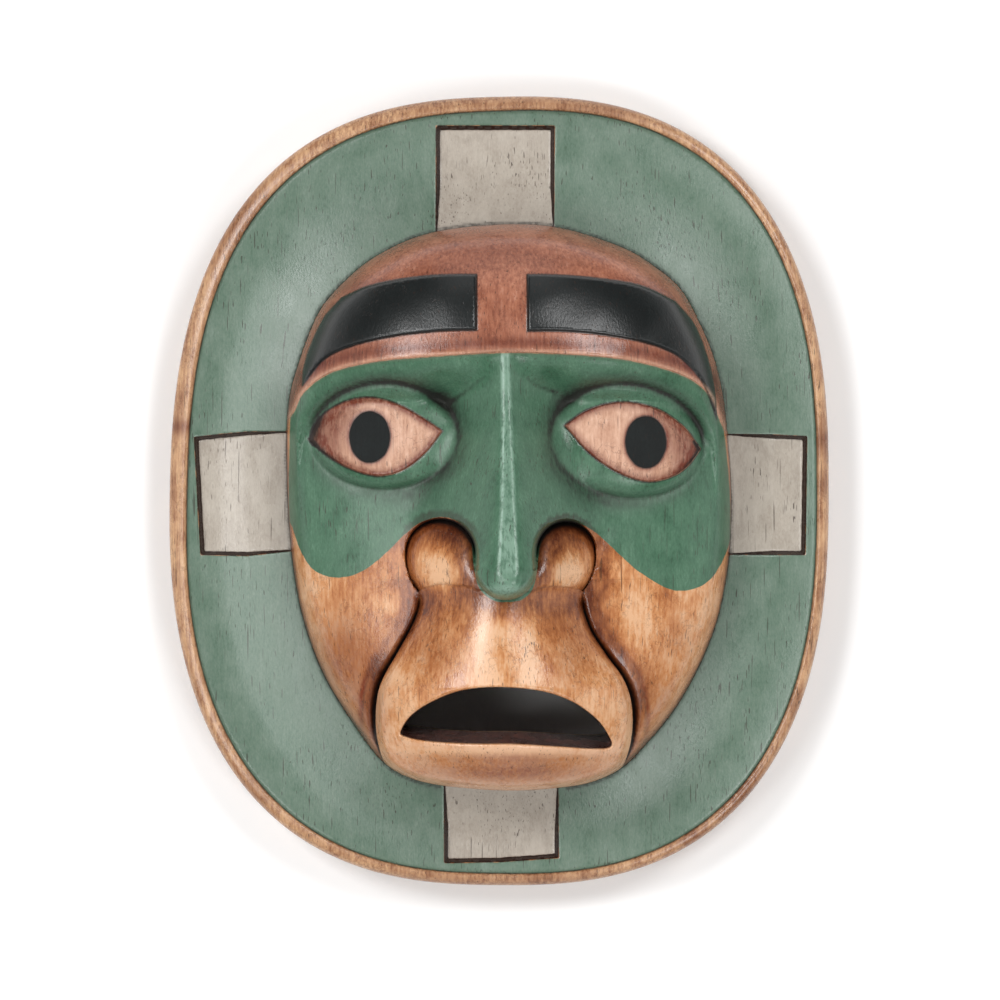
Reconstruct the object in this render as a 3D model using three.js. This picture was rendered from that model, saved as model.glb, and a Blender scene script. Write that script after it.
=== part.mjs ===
import * as THREE from 'three';

// Moon mask: a wide oval rim and ring around a carved face, all cut from one block of wood.
// It lies on its back with the face up: X to the right, Y to the forehead, Z out of the face.
// Lengths are millimetres.

// Sizes of the whole mask
const halfWidth = 137;
const halfHeight = 165.3;
const roundness = 2.55;
const rimTop = 24;
const rimFall = 1.6;
const rimEdgeRadius = 2.5;
const backChamfer = 2;
const ringAtRim = 22;
const ringAtFace = 26;
const ringDish = 0.13;
const ringLowShare = 0.34;
const stepSlope = 1.4;
const panelDepth = 3.4;
const panelWallSlope = 2;

// Sizes of the face
const headTop = 63;
const foreheadRise = 61.5;
const browThickness = 1.4;
const eyeBulge = 7;
const lidStep = 1.6;
const lidFold = 1.6;
const lidFoldHalfWidth = 1.9;
const muzzleFall = 21;
const wingFall = 9;
const wingEdge = 4.5;
const wingEdgeRadius = 4.5;
const wingWall = 14;
const noseFlank = 1.25;
const noseTipRadius = 12.5;
const tipEdge = 94;
const tipTop = 112;
const grooveDepth = 3.2;
const grooveHalfWidth = 1;
const lipEdgeRadius = 1.2;
const faceWall = 12.5;
const hollowEdgeRadius = 16;

// Uneven hand-carved outline: how far it swells from a true oval, by turns round the mask
const outlineLobes = [-0.29, 0.65, -0.07, 0.66, 0.63, -0.57, -0.32];
const bandLobes = [5.05, -1.15, 0.5, 0.35, -0.25];

const ramp = (value, from, to) => Math.min(1, Math.max(0, (value - from) / (to - from)));

function soft(value, from, to) {
  const t = ramp(value, from, to);
  return t * t * (3 - 2 * t);
}

// Quarter round: nothing at the edge, full height one radius in
const quarter = (inward, radius) => Math.sqrt(Math.max(0, 1 - (1 - ramp(inward, 0, radius)) ** 2));

// The higher of two surfaces with a small hollow where they meet
const join = (a, b, radius) => 0.5 * (a + b + Math.hypot(a - b, radius));

const bump = (x, y, width, height) => Math.exp(-((x / width) ** 2) - (y / height) ** 2);

function lobes(angle, sizes) {
  let sum = sizes[0];
  for (let turn = 1; 2 * turn <= sizes.length - 1; turn++) {
    sum += sizes[2 * turn - 1] * Math.cos(turn * angle) + sizes[2 * turn] * Math.sin(turn * angle);
  }
  return sum;
}

function outlineRadius(angle) {
  const across = Math.abs(Math.cos(angle) / halfWidth) ** roundness;
  const along = Math.abs(Math.sin(angle) / halfHeight) ** roundness;
  return (across + along) ** (-1 / roundness) + lobes(angle, outlineLobes);
}

// Smooth line through a few points
function smoothLine(points, closed = false, steps = 6) {
  const count = points.length;
  const line = [];
  const at = (i) => {
    if (closed) return points[(i + count) % count];
    if (i < 0) return points[0].map((v, k) => 2 * v - points[1][k]);
    if (i >= count) return points[count - 1].map((v, k) => 2 * v - points[count - 2][k]);
    return points[i];
  };
  for (let i = 0; i < (closed ? count : count - 1); i++) {
    for (let step = 0; step < steps; step++) {
      const t = step / steps;
      line.push([0, 1].map((k) => {
        const [a, b, c, d] = [at(i - 1)[k], at(i)[k], at(i + 1)[k], at(i + 2)[k]];
        const bend = (2 * a - 5 * b + 4 * c - d) * t * t + (3 * b - a - 3 * c + d) * t * t * t;
        return 0.5 * (2 * b + (c - a) * t + bend);
      }));
    }
  }
  if (!closed) line.push(points[count - 1]);
  return line;
}

// Closed outline whose smooth sides meet at corners
function cornered(sides) {
  const line = sides.flatMap((side) => smoothLine(side).slice(0, -1));
  const end = sides.at(-1).at(-1);
  const start = sides[0][0];
  if (Math.hypot(end[0] - start[0], end[1] - start[1]) > 0.1) line.push(end);
  return line;
}

// Distance in from a closed outline, below zero outside it
function inside(x, y, line) {
  let nearest = Infinity;
  let within = false;
  line.forEach(([ax, ay], i) => {
    const [bx, by] = line[(i + 1) % line.length];
    const [ex, ey] = [bx - ax, by - ay];
    const along = Math.min(1, Math.max(0, ((x - ax) * ex + (y - ay) * ey) / (ex * ex + ey * ey)));
    nearest = Math.min(nearest, Math.hypot(x - ax - along * ex, y - ay - along * ey));
    if ((ay > y) !== (by > y) && x < (ex * (y - ay)) / ey + ax) within = !within;
  });
  return within ? nearest : -nearest;
}

// Value at x on a line whose first coordinates rise
function follow(line, x, from = 0, to = 1) {
  let i = 1;
  while (i < line.length - 1 && line[i][from] < x) i++;
  const [a, b] = [line[i - 1], line[i]];
  const t = ramp(x, a[from], b[from]);
  return { value: a[to] + t * (b[to] - a[to]), slope: (b[to] - a[to]) / (b[from] - a[from]) };
}

// Height over a line that runs across the face, measured square to it
function above(x, y, line) {
  const { value, slope } = follow(line, x);
  return (y - value) / Math.hypot(1, slope);
}

// A closed outline seen from its middle, as radius against angle
function roundOutline(middle, line) {
  const polar = line.map(([x, y]) => [Math.atan2(y - middle[1], x - middle[0]),
    Math.hypot(x - middle[0], y - middle[1])]);
  polar.sort((p, q) => p[0] - q[0]);
  const turn = 2 * Math.PI;
  polar.unshift([polar.at(-1)[0] - turn, polar.at(-1)[1]]);
  polar.push([polar[1][0] + turn, polar[1][1]]);
  const inward = (x, y) => {
    const [dx, dy] = [x - middle[0], y - middle[1]];
    const { value, slope } = follow(polar, Math.atan2(dy, dx));
    return (value - Math.hypot(dx, dy)) * (value / Math.hypot(value, slope));
  };
  const loop = (count, depth) => Array.from({ length: count }, (_, i) => {
    const angle = -Math.PI + (2 * Math.PI * (i + 0.5)) / count;
    const { value, slope } = follow(polar, angle);
    const radius = value - (depth * Math.hypot(value, slope)) / value;
    return [middle[0] + radius * Math.cos(angle), middle[1] + radius * Math.sin(angle)];
  });
  return { inward, loop };
}

// Outline of the face where it stands out of the ring
const faceLine = smoothLine([
  [0.4, 110.8], [25.3, 109.4], [50.6, 101.5], [63.9, 93.8], [75.1, 84.3], [82.2, 72], [88.4, 57.9],
  [92.6, 41.7], [94.6, 25.5], [96.1, 6.8], [96.3, -11.8], [95.1, -30.5], [90.9, -52.1],
  [83.4, -71.6], [72.6, -90.7], [59.8, -106.1], [50.2, -115.2], [37.4, -120.8], [22, -123.1],
  [5.8, -123.9], [-12, -123.1], [-29.9, -120.8], [-41.9, -116.6], [-51.1, -109], [-61.9, -94],
  [-72.2, -77], [-80.1, -56.7], [-84.7, -35.9], [-87.2, -11.8], [-88.2, 15.2], [-87.6, 33.8],
  [-84.3, 49.6], [-75.1, 73.7], [-63.5, 87.8], [-49.4, 98.6], [-28.6, 107.3]], true, 4);
const face = roundOutline([4.2, -3.5], faceLine);
const faceInside = face.inward;

// The open mouth: a high arch over a nearly straight lower lip
const mouthMiddle = [2.4, -96];
const mouthLine = smoothLine([
  [-40.2, -98.1], [-36.1, -91.5], [-28, -85.8], [-15.8, -80.8], [-0.8, -79.2], [16.6, -80.8],
  [29.6, -85.3], [39.4, -92.3], [44.3, -98.9], [45.9, -104.2], [39, -105], [23.5, -103.7],
  [5.7, -102.5], [-11.8, -102.5], [-29.2, -101.7], [-38.2, -100.1]], true, 3);
const mouthLedge = 4.5;

// Sharp lower edge of the forehead, from temple to temple
const ridgeLine = smoothLine([
  [-94.7, 21.3], [-85.2, 32.7], [-80.5, 40.9], [-69.1, 48.9], [-50.5, 53.2], [-28, 55.1],
  [0.4, 56.6], [24.8, 56.2], [49.2, 54.3], [67.8, 50.4], [80.3, 45.3], [87.6, 38.4],
  [92, 28.3], [99.6, 13]]);

const brows = [
  cornered([
    [[-8.9, 65.3], [-24, 64.9], [-42.4, 63], [-58.9, 59.5], [-71.4, 54], [-80.8, 43.5]],
    [[-80.8, 43.5], [-80.4, 50.9], [-77.5, 60.4], [-72.1, 71.4], [-64.6, 79.6]],
    [[-64.6, 79.6], [-52.9, 84.3], [-36.4, 87.3], [-22.1, 88.4], [-9, 88.4]]]),
  cornered([
    [[11.4, 64.9], [26.9, 64.9], [43.2, 63.4], [61.7, 59.9], [74.3, 54.4], [84.1, 43.5], [89.7, 29.6]],
    [[89.7, 29.6], [88.4, 44], [85.5, 56.4], [80.5, 68.7], [72.5, 78]],
    [[72.5, 78], [57.9, 84.3], [41.3, 86.9], [24.9, 88.2], [11.4, 88.4]]])];

// Each eye: the almond opening and the rounded orb that carries its lids
const eyes = [
  {
    opening: cornered([
      [[-78.5, 21.2], [-73.6, 30.6], [-63.1, 36.9], [-52, 38.5], [-40.5, 35.4], [-30.3, 29.7],
        [-22.9, 24.8]],
      [[-22.9, 24.8], [-30.3, 15.3], [-39.7, 8.4], [-50.3, 6.3], [-61.9, 9.6], [-71.5, 15.4],
        [-78.5, 21.2]]]),
    middle: [-46.7, 22.7], halfLength: 30, halfHeight: 21.5, tilt: 0, socket: [-21.7, 36.7],
  },
  {
    opening: cornered([
      [[26.6, 27], [35.2, 32.9], [45.4, 36.2], [55.2, 36.4], [66, 33.4], [76.1, 26.5], [83.1, 17.5]],
      [[83.1, 17.5], [77.7, 10.5], [70.9, 5.9], [61, 3.9], [49.5, 7.2], [37.2, 15.3], [26.6, 27]]]),
    middle: [52.4, 20.7], halfLength: 31.5, halfHeight: 23, tilt: -0.12, socket: [21.3, 39.2],
  }];

// Grooves from the wings of the nose round the muzzle, top to bottom
const grooves = [
  smoothLine([
    [-38.7, -19.8], [-37.9, -29.9], [-32.6, -42.5], [-34.6, -52.7], [-41.2, -65.4], [-47.7, -76.9],
    [-50.2, -86], [-50.6, -97.7], [-48.6, -108.5], [-44.2, -121.3]]),
  smoothLine([
    [41.6, -19.8], [40.7, -32], [34.2, -42.5], [37, -55.6], [44, -67], [51, -76.9],
    [54.5, -87.6], [54.5, -100.9], [51.5, -112.6], [45.9, -123.4]])];
const fallingGrooves = grooves.map((line) => line.map(([x, y]) => [-y, x]));

// Wings of the nose and the line they sit on
const wings = [
  { middle: [-24, -25.5], halfWidth: 14.3, height: 14 },
  { middle: [27.4, -25.5], halfWidth: 12.1, height: 13 }];
const noseBase = smoothLine([
  [-42.3, -45.8], [-33.7, -41.2], [-28, -38.5], [-22.3, -37.7], [-11.7, -38.7], [-7.7, -39.9],
  [11.7, -40.7], [15, -39.9], [19.9, -38.7], [25.9, -38.7], [32.1, -40], [37.8, -42.9],
  [44.3, -46.6]]);

// Top of the nose from brow to tip: fall of y, height, sideways position, half-width
const noseRidge = [
  [-56.6, 84.5, 2.4, 0.3], [-28.9, 90, 3.2, 0.8], [3.4, 101, 3.6, 1.6], [27.5, 109, 3.6, 2.6],
  [37.5, 112, 3.6, 3]];
const noseTop = 57;
const noseTip = [2.8, -31.5];

const muzzleTop = [[42, 86], [60, 89], [80, 92], [100, 90], [130, 84]];

// Four sunk panels in the ring, like the arms of a cross
const panels = [
  [[-26.3, 152.5], [23.3, 152.5], [22.9, 104.8], [-26.3, 104.8]],
  [[-127.1, 22.7], [-116.3, 24], [-105, 25], [-82.9, 25], [-82.9, -24.4], [-105, -26.9],
    [-124.4, -26.5]],
  [[92.1, 24], [112.9, 23.8], [128.4, 23.1], [127.7, -26.5], [92.1, -26.3]],
  [[-22.9, -118.2], [24.6, -118.2], [25, -152.7], [0.4, -154.4], [-22.9, -154.8]]];

// Rim, dished ring and sunk panels
function plate(x, y) {
  const angle = Math.atan2(y, x);
  const radius = Math.hypot(x, y);
  const outer = outlineRadius(angle);
  const fromRim = outer - lobes(angle, bandLobes) - radius;
  if (fromRim <= 0) {
    const fall = rimFall * ramp(-fromRim, 0, 5) ** 1.5;
    return rimTop - fall - 3 * (1 - quarter(outer - radius, rimEdgeRadius));
  }
  const fromFace = Math.max(0, -faceInside(x, y));
  const t = fromRim / (fromRim + fromFace + 1e-6);
  const low = ringAtFace - ringDish * (fromRim + fromFace);
  const fall = Math.max(0, ringAtRim - low) * (1 - ramp(t, 0, ringLowShare)) ** 2;
  const ring = low + fall + (ringAtFace - low) * ramp(t, ringLowShare, 1) ** 1.5;
  const deepest = panelDepth * (0.35 + 0.65 * ramp(fromFace, 0, 18));
  const inPanel = Math.max(...panels.map((panel) => inside(x, y, panel)));
  const sunk = Math.min(deepest, Math.max(0, panelWallSlope * inPanel));
  return Math.max(ring, rimTop - stepSlope * fromRim) - sunk;
}

// Cheeks, sides of the head and forehead with the shelf under its lower edge
function head(x, y, inward) {
  const cheekTop = headTop - 0.0009 * x * x + 4 * bump(x, y + 55, 60, 50);
  const cheek = ringAtFace
    + (cheekTop - ringAtFace) * (0.35 * quarter(inward, 10) + 0.65 * quarter(inward, 48));
  const overRidge = above(x, y, ridgeLine);
  const under = Math.max(0, -overRidge);
  const forehead = ringAtFace
    + (foreheadRise - 0.0016 * x * x) * (0.3 * quarter(inward, 10) + 0.7 * quarter(inward, 58));
  const shelf = forehead - 1.6 * (1 - Math.exp(-under / 0.6)) - 0.3 * under - 0.036 * under * under;
  let z = join(cheek, shelf, 3);
  for (const eye of eyes) {
    z -= 7 * bump(x - eye.socket[0], y - eye.socket[1], 8, 9) * soft(under, 2, 10);
  }
  if (overRidge > 0) z = Math.max(z, forehead);
  return { z, cheek };
}

// Rounded orbs in a folded edge, each with an almond opening stepped down to the eyeball
function addEyes(x, y, z, cheek) {
  const underRidge = above(x, y, ridgeLine) < -1;
  for (const { opening, middle, halfLength, halfHeight: tall, tilt } of eyes) {
    const [dx, dy] = [x - middle[0], y - middle[1]];
    const u = (dx * Math.cos(tilt) + dy * Math.sin(tilt)) / halfLength;
    const v = (dy * Math.cos(tilt) - dx * Math.sin(tilt)) / tall;
    const out = Math.hypot(u, v);
    if (out < 1) {
      const inEye = inside(x, y, opening);
      const ball = inEye > 0 ? lidStep * ramp(inEye, 0, 0.8) - 0.8 * soft(inEye, 0.8, 10) : 0;
      z = join(z, cheek + eyeBulge * (1 - out ** 4) ** 0.7 - ball, 1);
    }
    if (!underRidge) continue;
    const beyond = Math.hypot(dx, dy) * (1 - 1 / Math.max(out, 0.1));
    const deep = 0.35 + 1.1 * soft(v, -0.3, 0.7) + 0.6 * soft(-Math.sign(middle[0]) * u, 0.2, 0.9);
    z -= lidFold * deep * Math.exp(-((beyond / lidFoldHalfWidth) ** 2));
  }
  return z;
}

// Upper lip, mouth and lower lip: one rounded mass between the two grooves
function muzzle(x, y, inward) {
  const left = follow(fallingGrooves[0], -y).value;
  const right = follow(fallingGrooves[1], -y).value;
  const sideways = Math.abs((x - (left + right) / 2) / ((right - left) / 2));
  const top = follow(muzzleTop, -y).value - muzzleFall * Math.min(sideways, 1) ** 1.8;
  const z = ringAtFace + (top - ringAtFace) * (0.6 * quarter(inward, 5) + 0.4 * quarter(inward, 34));
  return { lips: z, onLips: sideways < 1 && y < follow(noseBase, x).value };
}

// Ridge with straight flanks, ending below in a round tip
function nose(x, y) {
  if (y > noseTop) return 0;
  const [height, middle, halfWide] = [1, 2, 3].map((k) => follow(noseRidge, -y, 0, k).value);
  const below = Math.min(0, y - noseTip[1]);
  const flank = Math.max(0, Math.hypot(x - middle, below) - halfWide);
  const edge = 0.8 + 1.2 * halfWide;
  const hollowed = 0.5 * Math.max(0, flank - 14) * soft(-y, 6, 30);
  const ridge = height - noseFlank * (Math.hypot(flank, edge) - edge) - hollowed;
  if (below === 0) return ridge;
  const inTip = noseTipRadius - Math.hypot(x - noseTip[0], below);
  return inTip < 0 ? 0 : Math.min(ridge, tipEdge + (tipTop - tipEdge) * quarter(inTip, 8));
}

// Wings of the nose: level with the lip below, sinking upward into a steep cut under the cheek
function addWings(x, y, z, lips, tip) {
  if (y <= follow(noseBase, x).value) return z;
  for (const { middle: [cx, cy], halfWidth: wide, height: high } of wings) {
    const toNose = (x - cx) * cx < 0 && Math.abs(x - cx) < Math.abs(noseTip[0] - cx);
    const belowMiddle = toNose ? 4 : 1.4;
    const up = (y - cy) / high / (y > cy ? 1 : belowMiddle);
    let out = Math.hypot((x - cx) / wide, up);
    if (toNose && y < noseTip[1]) out = Math.min(out, 0.95);
    const round = wingEdge * (toNose ? soft(y, -37, -24) : 1);
    const edge = lips + 1 - wingFall * ramp(y, -40, cy + high) ** 1.5 - round;
    const dome = edge + round * quarter(wide * (1 - out), wingEdgeRadius);
    if (out >= 1) z = Math.min(z, edge + wingWall * wide * (out - 1));
    else z = y < noseTip[1] ? Math.max(dome, tip) : dome;
  }
  return z;
}

function cutGrooves(x, y, z, inward) {
  const lower = ramp(-y, 55, 110);
  for (const line of fallingGrooves) {
    const { value, slope } = follow(line, -y);
    const away = (x - value) / Math.hypot(1, slope) / (grooveHalfWidth * (1 + 1.2 * lower));
    z -= grooveDepth * (1 + 0.7 * lower) * Math.exp(-(away ** 2)) * ramp(inward, 0, 4) * ramp(-y, 42, 46);
  }
  return z;
}

// Height of the carved front
function front(x, y) {
  const inward = faceInside(x, y);
  if (inward <= 0) return plate(x, y);
  let { z, cheek } = head(x, y, inward);
  z = addEyes(x, y, z, cheek);
  const { lips, onLips } = muzzle(x, y, inward);
  if (onLips) z = lips;
  const ridge = nose(x, y);
  z = join(z, ridge, 1 + 7 * soft(y, -34, -10));
  z = addWings(x, y, z, lips, ridge);
  z = cutGrooves(x, y, z, inward);
  for (const brow of brows) z += browThickness * ramp(inside(x, y, brow), 0, 0.9);
  if (inward > 3) z -= lipEdgeRadius * (1 - quarter(-mouthInside(x, y), lipEdgeRadius));
  return Math.max(z, 18);
}

// Height of the hollow back, nothing where the back is flat
function back(x, y) {
  const depth = 44 + 22 * bump(x, y + 45, 30, 52) + 18 * bump(x, y + 88, 34, 20);
  return depth * quarter(faceInside(x, y) - faceWall, hollowEdgeRadius);
}

// Points spread over a sheet, each kept only where no earlier one is too near
class Sheet {
  constructor() {
    this.points = [];
    this.cells = new Map();
  }

  add(x, y, gap) {
    const size = 8;
    const [column, row] = [Math.floor(x / size), Math.floor(y / size)];
    for (let i = -1; i <= 1; i++) {
      for (let j = -1; j <= 1; j++) {
        for (const [px, py] of this.cells.get(`${column + i},${row + j}`) ?? []) {
          if (Math.hypot(px - x, py - y) < gap) return;
        }
      }
    }
    const key = `${column},${row}`;
    if (!this.cells.has(key)) this.cells.set(key, []);
    this.cells.get(key).push([x, y]);
    this.points.push([x, y]);
  }

  // Points along a line at even spacing, repeated at offsets square to it, inward if it is closed
  addRows(line, closed, spacing, offsets, gap, keep = () => true) {
    const corners = closed ? [...line, line[0]] : line;
    const turn = corners.slice(1).reduce((sum, b, i) => sum + corners[i][0] * b[1] - b[0] * corners[i][1], 0);
    const inward = closed ? Math.sign(turn) : 1;
    const curve = new THREE.CurvePath();
    for (let i = 1; i < corners.length; i++) {
      const [a, b] = [corners[i - 1], corners[i]];
      curve.add(new THREE.LineCurve(new THREE.Vector2(...a), new THREE.Vector2(...b)));
    }
    const count = Math.max(2, Math.round(curve.getLength() / spacing));
    for (let i = 0; i < count + (closed ? 0 : 1); i++) {
      const at = curve.getPointAt(i / count);
      const before = curve.getPointAt(Math.max(0, i / count - 0.004));
      const after = curve.getPointAt(Math.min(1, i / count + 0.004));
      const along = after.sub(before).normalize();
      for (const offset of offsets) {
        const [x, y] = [at.x - along.y * offset * inward, at.y + along.x * offset * inward];
        if (keep(x, y)) this.add(x, y, gap);
      }
    }
  }

  // Points on a staggered grid inside a box
  addGrid([left, right], [bottom, top], spacing, gap, keep = () => true) {
    let row = 0;
    for (let y = bottom; y <= top; y += spacing * 0.87) {
      for (let x = left + (row % 2) * spacing * 0.5; x <= right; x += spacing) {
        if (keep(x, y)) this.add(x, y, gap);
      }
      row++;
    }
  }
}

// Triangles that join scattered points, by adding the points one at a time
function triangulate(points) {
  const far = 2000;
  const all = [...points, [-far, -far], [far, -far], [0, far]];
  const withCircle = (a, b, c) => {
    const [[ax, ay], [bx, by], [cx, cy]] = [all[a], all[b], all[c]];
    const turn = 2 * (ax * (by - cy) + bx * (cy - ay) + cx * (ay - by));
    const [aa, bb, cc] = [ax * ax + ay * ay, bx * bx + by * by, cx * cx + cy * cy];
    const x = (aa * (by - cy) + bb * (cy - ay) + cc * (ay - by)) / turn;
    const y = (aa * (cx - bx) + bb * (ax - cx) + cc * (bx - ax)) / turn;
    return { corners: turn > 0 ? [a, b, c] : [a, c, b], x, y, reach: (ax - x) ** 2 + (ay - y) ** 2 };
  };
  let triangles = [withCircle(points.length, points.length + 1, points.length + 2)];
  points.forEach(([x, y], index) => {
    const edges = new Map();
    triangles = triangles.filter((triangle) => {
      if ((x - triangle.x) ** 2 + (y - triangle.y) ** 2 >= triangle.reach * (1 - 1e-12)) return true;
      const [a, b, c] = triangle.corners;
      for (const [from, to] of [[a, b], [b, c], [c, a]]) {
        if (!edges.delete(`${to},${from}`)) edges.set(`${from},${to}`, [from, to]);
      }
      return false;
    });
    for (const [from, to] of edges.values()) triangles.push(withCircle(from, to, index));
  });
  return triangles.map(({ corners }) => corners)
    .filter((corners) => corners.every((corner) => corner < points.length));
}

// The outline in even steps, drawn in square to itself by a distance worked out for each angle
const rimSteps = 120;
function rimLoop(inset) {
  return Array.from({ length: rimSteps }, (_, i) => {
    const angle = (2 * Math.PI * i) / rimSteps;
    const radius = outlineRadius(angle);
    const slope = (outlineRadius(angle + 0.01) - outlineRadius(angle - 0.01)) / 0.02;
    const square = angle - Math.atan2(slope, radius);
    return [radius * Math.cos(angle) - inset(angle) * Math.cos(square),
      radius * Math.sin(angle) - inset(angle) * Math.sin(square)];
  });
}
const outline = rimLoop(() => 0);
const lowOutline = rimLoop(() => backChamfer);

// The mouth at the front of the lips and, smaller, where it opens into the hollow
const mouthFront = mouthLine;
const mouthInside = (x, y) => inside(x, y, mouthFront);
const mouthBack = mouthLine.map(([x, y]) => {
  const lift = mouthLedge * ramp(-96 - y, 0, 5);
  return [mouthMiddle[0] + 0.97 * (x - mouthMiddle[0]), y + lift];
});

function frontSheet() {
  const sheet = new Sheet();
  const addAll = (points, gap, keep = () => true) => {
    for (const [x, y] of points) if (keep(x, y)) sheet.add(x, y, gap);
  };
  addAll(outline, 0.1);
  addAll(mouthFront, 0.1);
  addAll(rimLoop(() => 0.8), 0.3);
  addAll(rimLoop(() => rimEdgeRadius), 0.3);
  addAll(rimLoop((angle) => lobes(angle, bandLobes)), 0.3);
  addAll(rimLoop((angle) => lobes(angle, bandLobes) + 1.6), 0.3);
  const free = (x, y) => mouthInside(x, y) < 0;
  const onPlate = (x, y) => faceInside(x, y) < -0.5;
  const inHead = (x, y) => faceInside(x, y) > 1.5;
  for (const depth of [0, 0.8, 3, 7]) addAll(face.loop(132, depth), 0.7, free);
  sheet.addRows(mouthFront, true, 3, [-1.5, -4], 1.2, (x, y) => free(x, y) && faceInside(x, y) > 1);
  for (const panel of panels) {
    sheet.addRows(panel, true, 7, [0, panelDepth / panelWallSlope], 1.2, onPlate);
  }
  for (const eye of eyes) {
    sheet.addRows(eye.opening, true, 2.6, [0, 0.9], 0.6);
    const rounds = Array.from({ length: 40 }, (_, i) => {
      const angle = (2 * Math.PI * i) / 40;
      const [u, v] = [eye.halfLength * Math.cos(angle), eye.halfHeight * Math.sin(angle)];
      return [eye.middle[0] + u * Math.cos(eye.tilt) - v * Math.sin(eye.tilt),
        eye.middle[1] + u * Math.sin(eye.tilt) + v * Math.cos(eye.tilt)];
    });
    const onHead = (x, y) => faceInside(x, y) > 1 && above(x, y, ridgeLine) < -1;
    sheet.addRows(rounds, true, 4, [0, 1.7, -1.9], 1, onHead);
  }
  sheet.addRows(ridgeLine, false, 4, [0, -0.9], 0.7, inHead);
  sheet.addRows(ridgeLine, false, 4, [-3.5], 1.2, inHead);
  for (const brow of brows) sheet.addRows(brow, true, 5, [0, 1], 0.7, inHead);
  const belowNose = (x, y) => y < -40 && inHead(x, y) && free(x, y);
  for (const groove of grooves) {
    sheet.addRows(groove, false, 3.2, [0, 1.4, -1.4, 3.2, -3.2], 0.9, belowNose);
  }
  sheet.addRows(noseBase, false, 2.4, [0.3, -0.3], 0.4, (x) => Math.abs(x - 3) < 36);
  for (const { middle, halfWidth: wide, height } of wings) {
    for (const size of [1, 1.07, 0.96, 0.86, 0.65, 1.2]) {
      for (let i = 0; i < 28; i++) {
        const angle = (2 * Math.PI * i) / 28;
        const along = size * wide * Math.cos(angle);
        const belowMiddle = along * middle[0] < 0 ? 4 : 1.4;
        const up = size * height * Math.sin(angle) * (Math.sin(angle) > 0 ? 1 : belowMiddle);
        const [x, y] = [middle[0] + along, middle[1] + up];
        if (y > follow(noseBase, x).value + 0.4) sheet.add(x, y, 0.6);
      }
    }
  }
  for (let i = 0; i <= 14; i++) {
    const angle = Math.PI + (Math.PI * i) / 14;
    for (const size of [noseTipRadius - 0.1, noseTipRadius + 0.3, noseTipRadius - 1.5, noseTipRadius - 4]) {
      sheet.add(noseTip[0] + size * Math.cos(angle), noseTip[1] + size * Math.sin(angle), 0.35);
    }
  }
  for (let y = noseTop - 1; y > noseTip[1] - 2; y -= 4) {
    const [middle, halfWide] = [2, 3].map((k) => follow(noseRidge, -y, 0, k).value);
    for (const out of [-halfWide - 0.4, halfWide + 0.4, -halfWide - 3, halfWide + 3]) {
      sheet.add(middle + out, y, 0.7);
    }
  }
  sheet.addGrid([-80, 86], [0, 42], 4.4, 2.3, (x, y) => inHead(x, y));
  sheet.addGrid([-45, 50], [-50, 0], 4.4, 2.3, (x, y) => inHead(x, y));
  sheet.addGrid([-95, 100], [-125, 112], 7, 3.8, (x, y) => inHead(x, y) && free(x, y));
  const onRing = (x, y) => Math.hypot(x, y) < outlineRadius(Math.atan2(y, x)) - 9 && onPlate(x, y);
  sheet.addGrid([-135, 135], [-165, 165], 13, 6.5, onRing);
  return sheet.points;
}

function backSheet() {
  const sheet = new Sheet();
  const free = (x, y) => inside(x, y, mouthBack) < -2;
  for (const [x, y] of [...lowOutline, ...mouthBack]) sheet.add(x, y, 0.1);
  sheet.addRows(mouthBack, true, 6, [-3.5], 2, (x, y) => faceInside(x, y) > faceWall + 2);
  for (const inset of [0, 0.5, 2, 5, 10, 16]) {
    for (const [x, y] of face.loop(72, faceWall + inset)) if (free(x, y)) sheet.add(x, y, 0.4);
  }
  const inHollow = (x, y) => faceInside(x, y) > faceWall + 17 && free(x, y);
  sheet.addGrid([-95, 100], [-125, 112], 11, 6, inHollow);
  const onFlat = (x, y) => Math.hypot(x, y) < outlineRadius(Math.atan2(y, x)) - 12
    && faceInside(x, y) < faceWall - 9;
  sheet.addGrid([-135, 135], [-165, 165], 24, 13, onFlat);
  return sheet.points;
}

// Closed skin: front sheet, side wall, back sheet and the walls of the mouth
function skin() {
  const vertices = [];
  const faces = [];
  const place = (points, height) => points.map(([x, y]) => vertices.push([x, y, height(x, y)]) - 1);
  const open = (points, hole) => triangulate(points).filter((corners) => {
    const middle = [0, 1].map((k) => corners.reduce((sum, c) => sum + points[c][k], 0) / 3);
    return inside(...middle, hole) < 0;
  });
  const wall = (upper, lower) => upper.forEach((corner, i) => {
    const next = (i + 1) % upper.length;
    faces.push([corner, lower[i], lower[next]], [corner, lower[next], upper[next]]);
  });

  const frontPoints = frontSheet();
  const backPoints = backSheet();
  const frontIndex = place(frontPoints, front);
  const backIndex = place(backPoints, back);
  for (const [a, b, c] of open(frontPoints, mouthFront)) {
    faces.push([frontIndex[a], frontIndex[b], frontIndex[c]]);
  }
  for (const [a, b, c] of open(backPoints, mouthBack)) {
    faces.push([backIndex[a], backIndex[c], backIndex[b]]);
  }

  const lowEdge = place(outline, () => backChamfer);
  wall(frontIndex.slice(0, rimSteps), lowEdge);
  wall(lowEdge, backIndex.slice(0, rimSteps));
  const mouthCount = mouthFront.length;
  wall(frontIndex.slice(rimSteps, rimSteps + mouthCount), backIndex.slice(rimSteps, rimSteps + mouthCount));
  return { vertices, faces };
}

const { vertices, faces } = skin();
const geometry = new THREE.BufferGeometry();
geometry.setAttribute('position', new THREE.Float32BufferAttribute(vertices.flat(), 3));
geometry.setIndex(faces.flat());
geometry.computeVertexNormals();

const wood = new THREE.MeshStandardMaterial({ color: 0x5f8168, roughness: 0.5, metalness: 0 });
const mask = new THREE.Mesh(geometry, wood);
mask.name = 'moon_mask';

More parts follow.
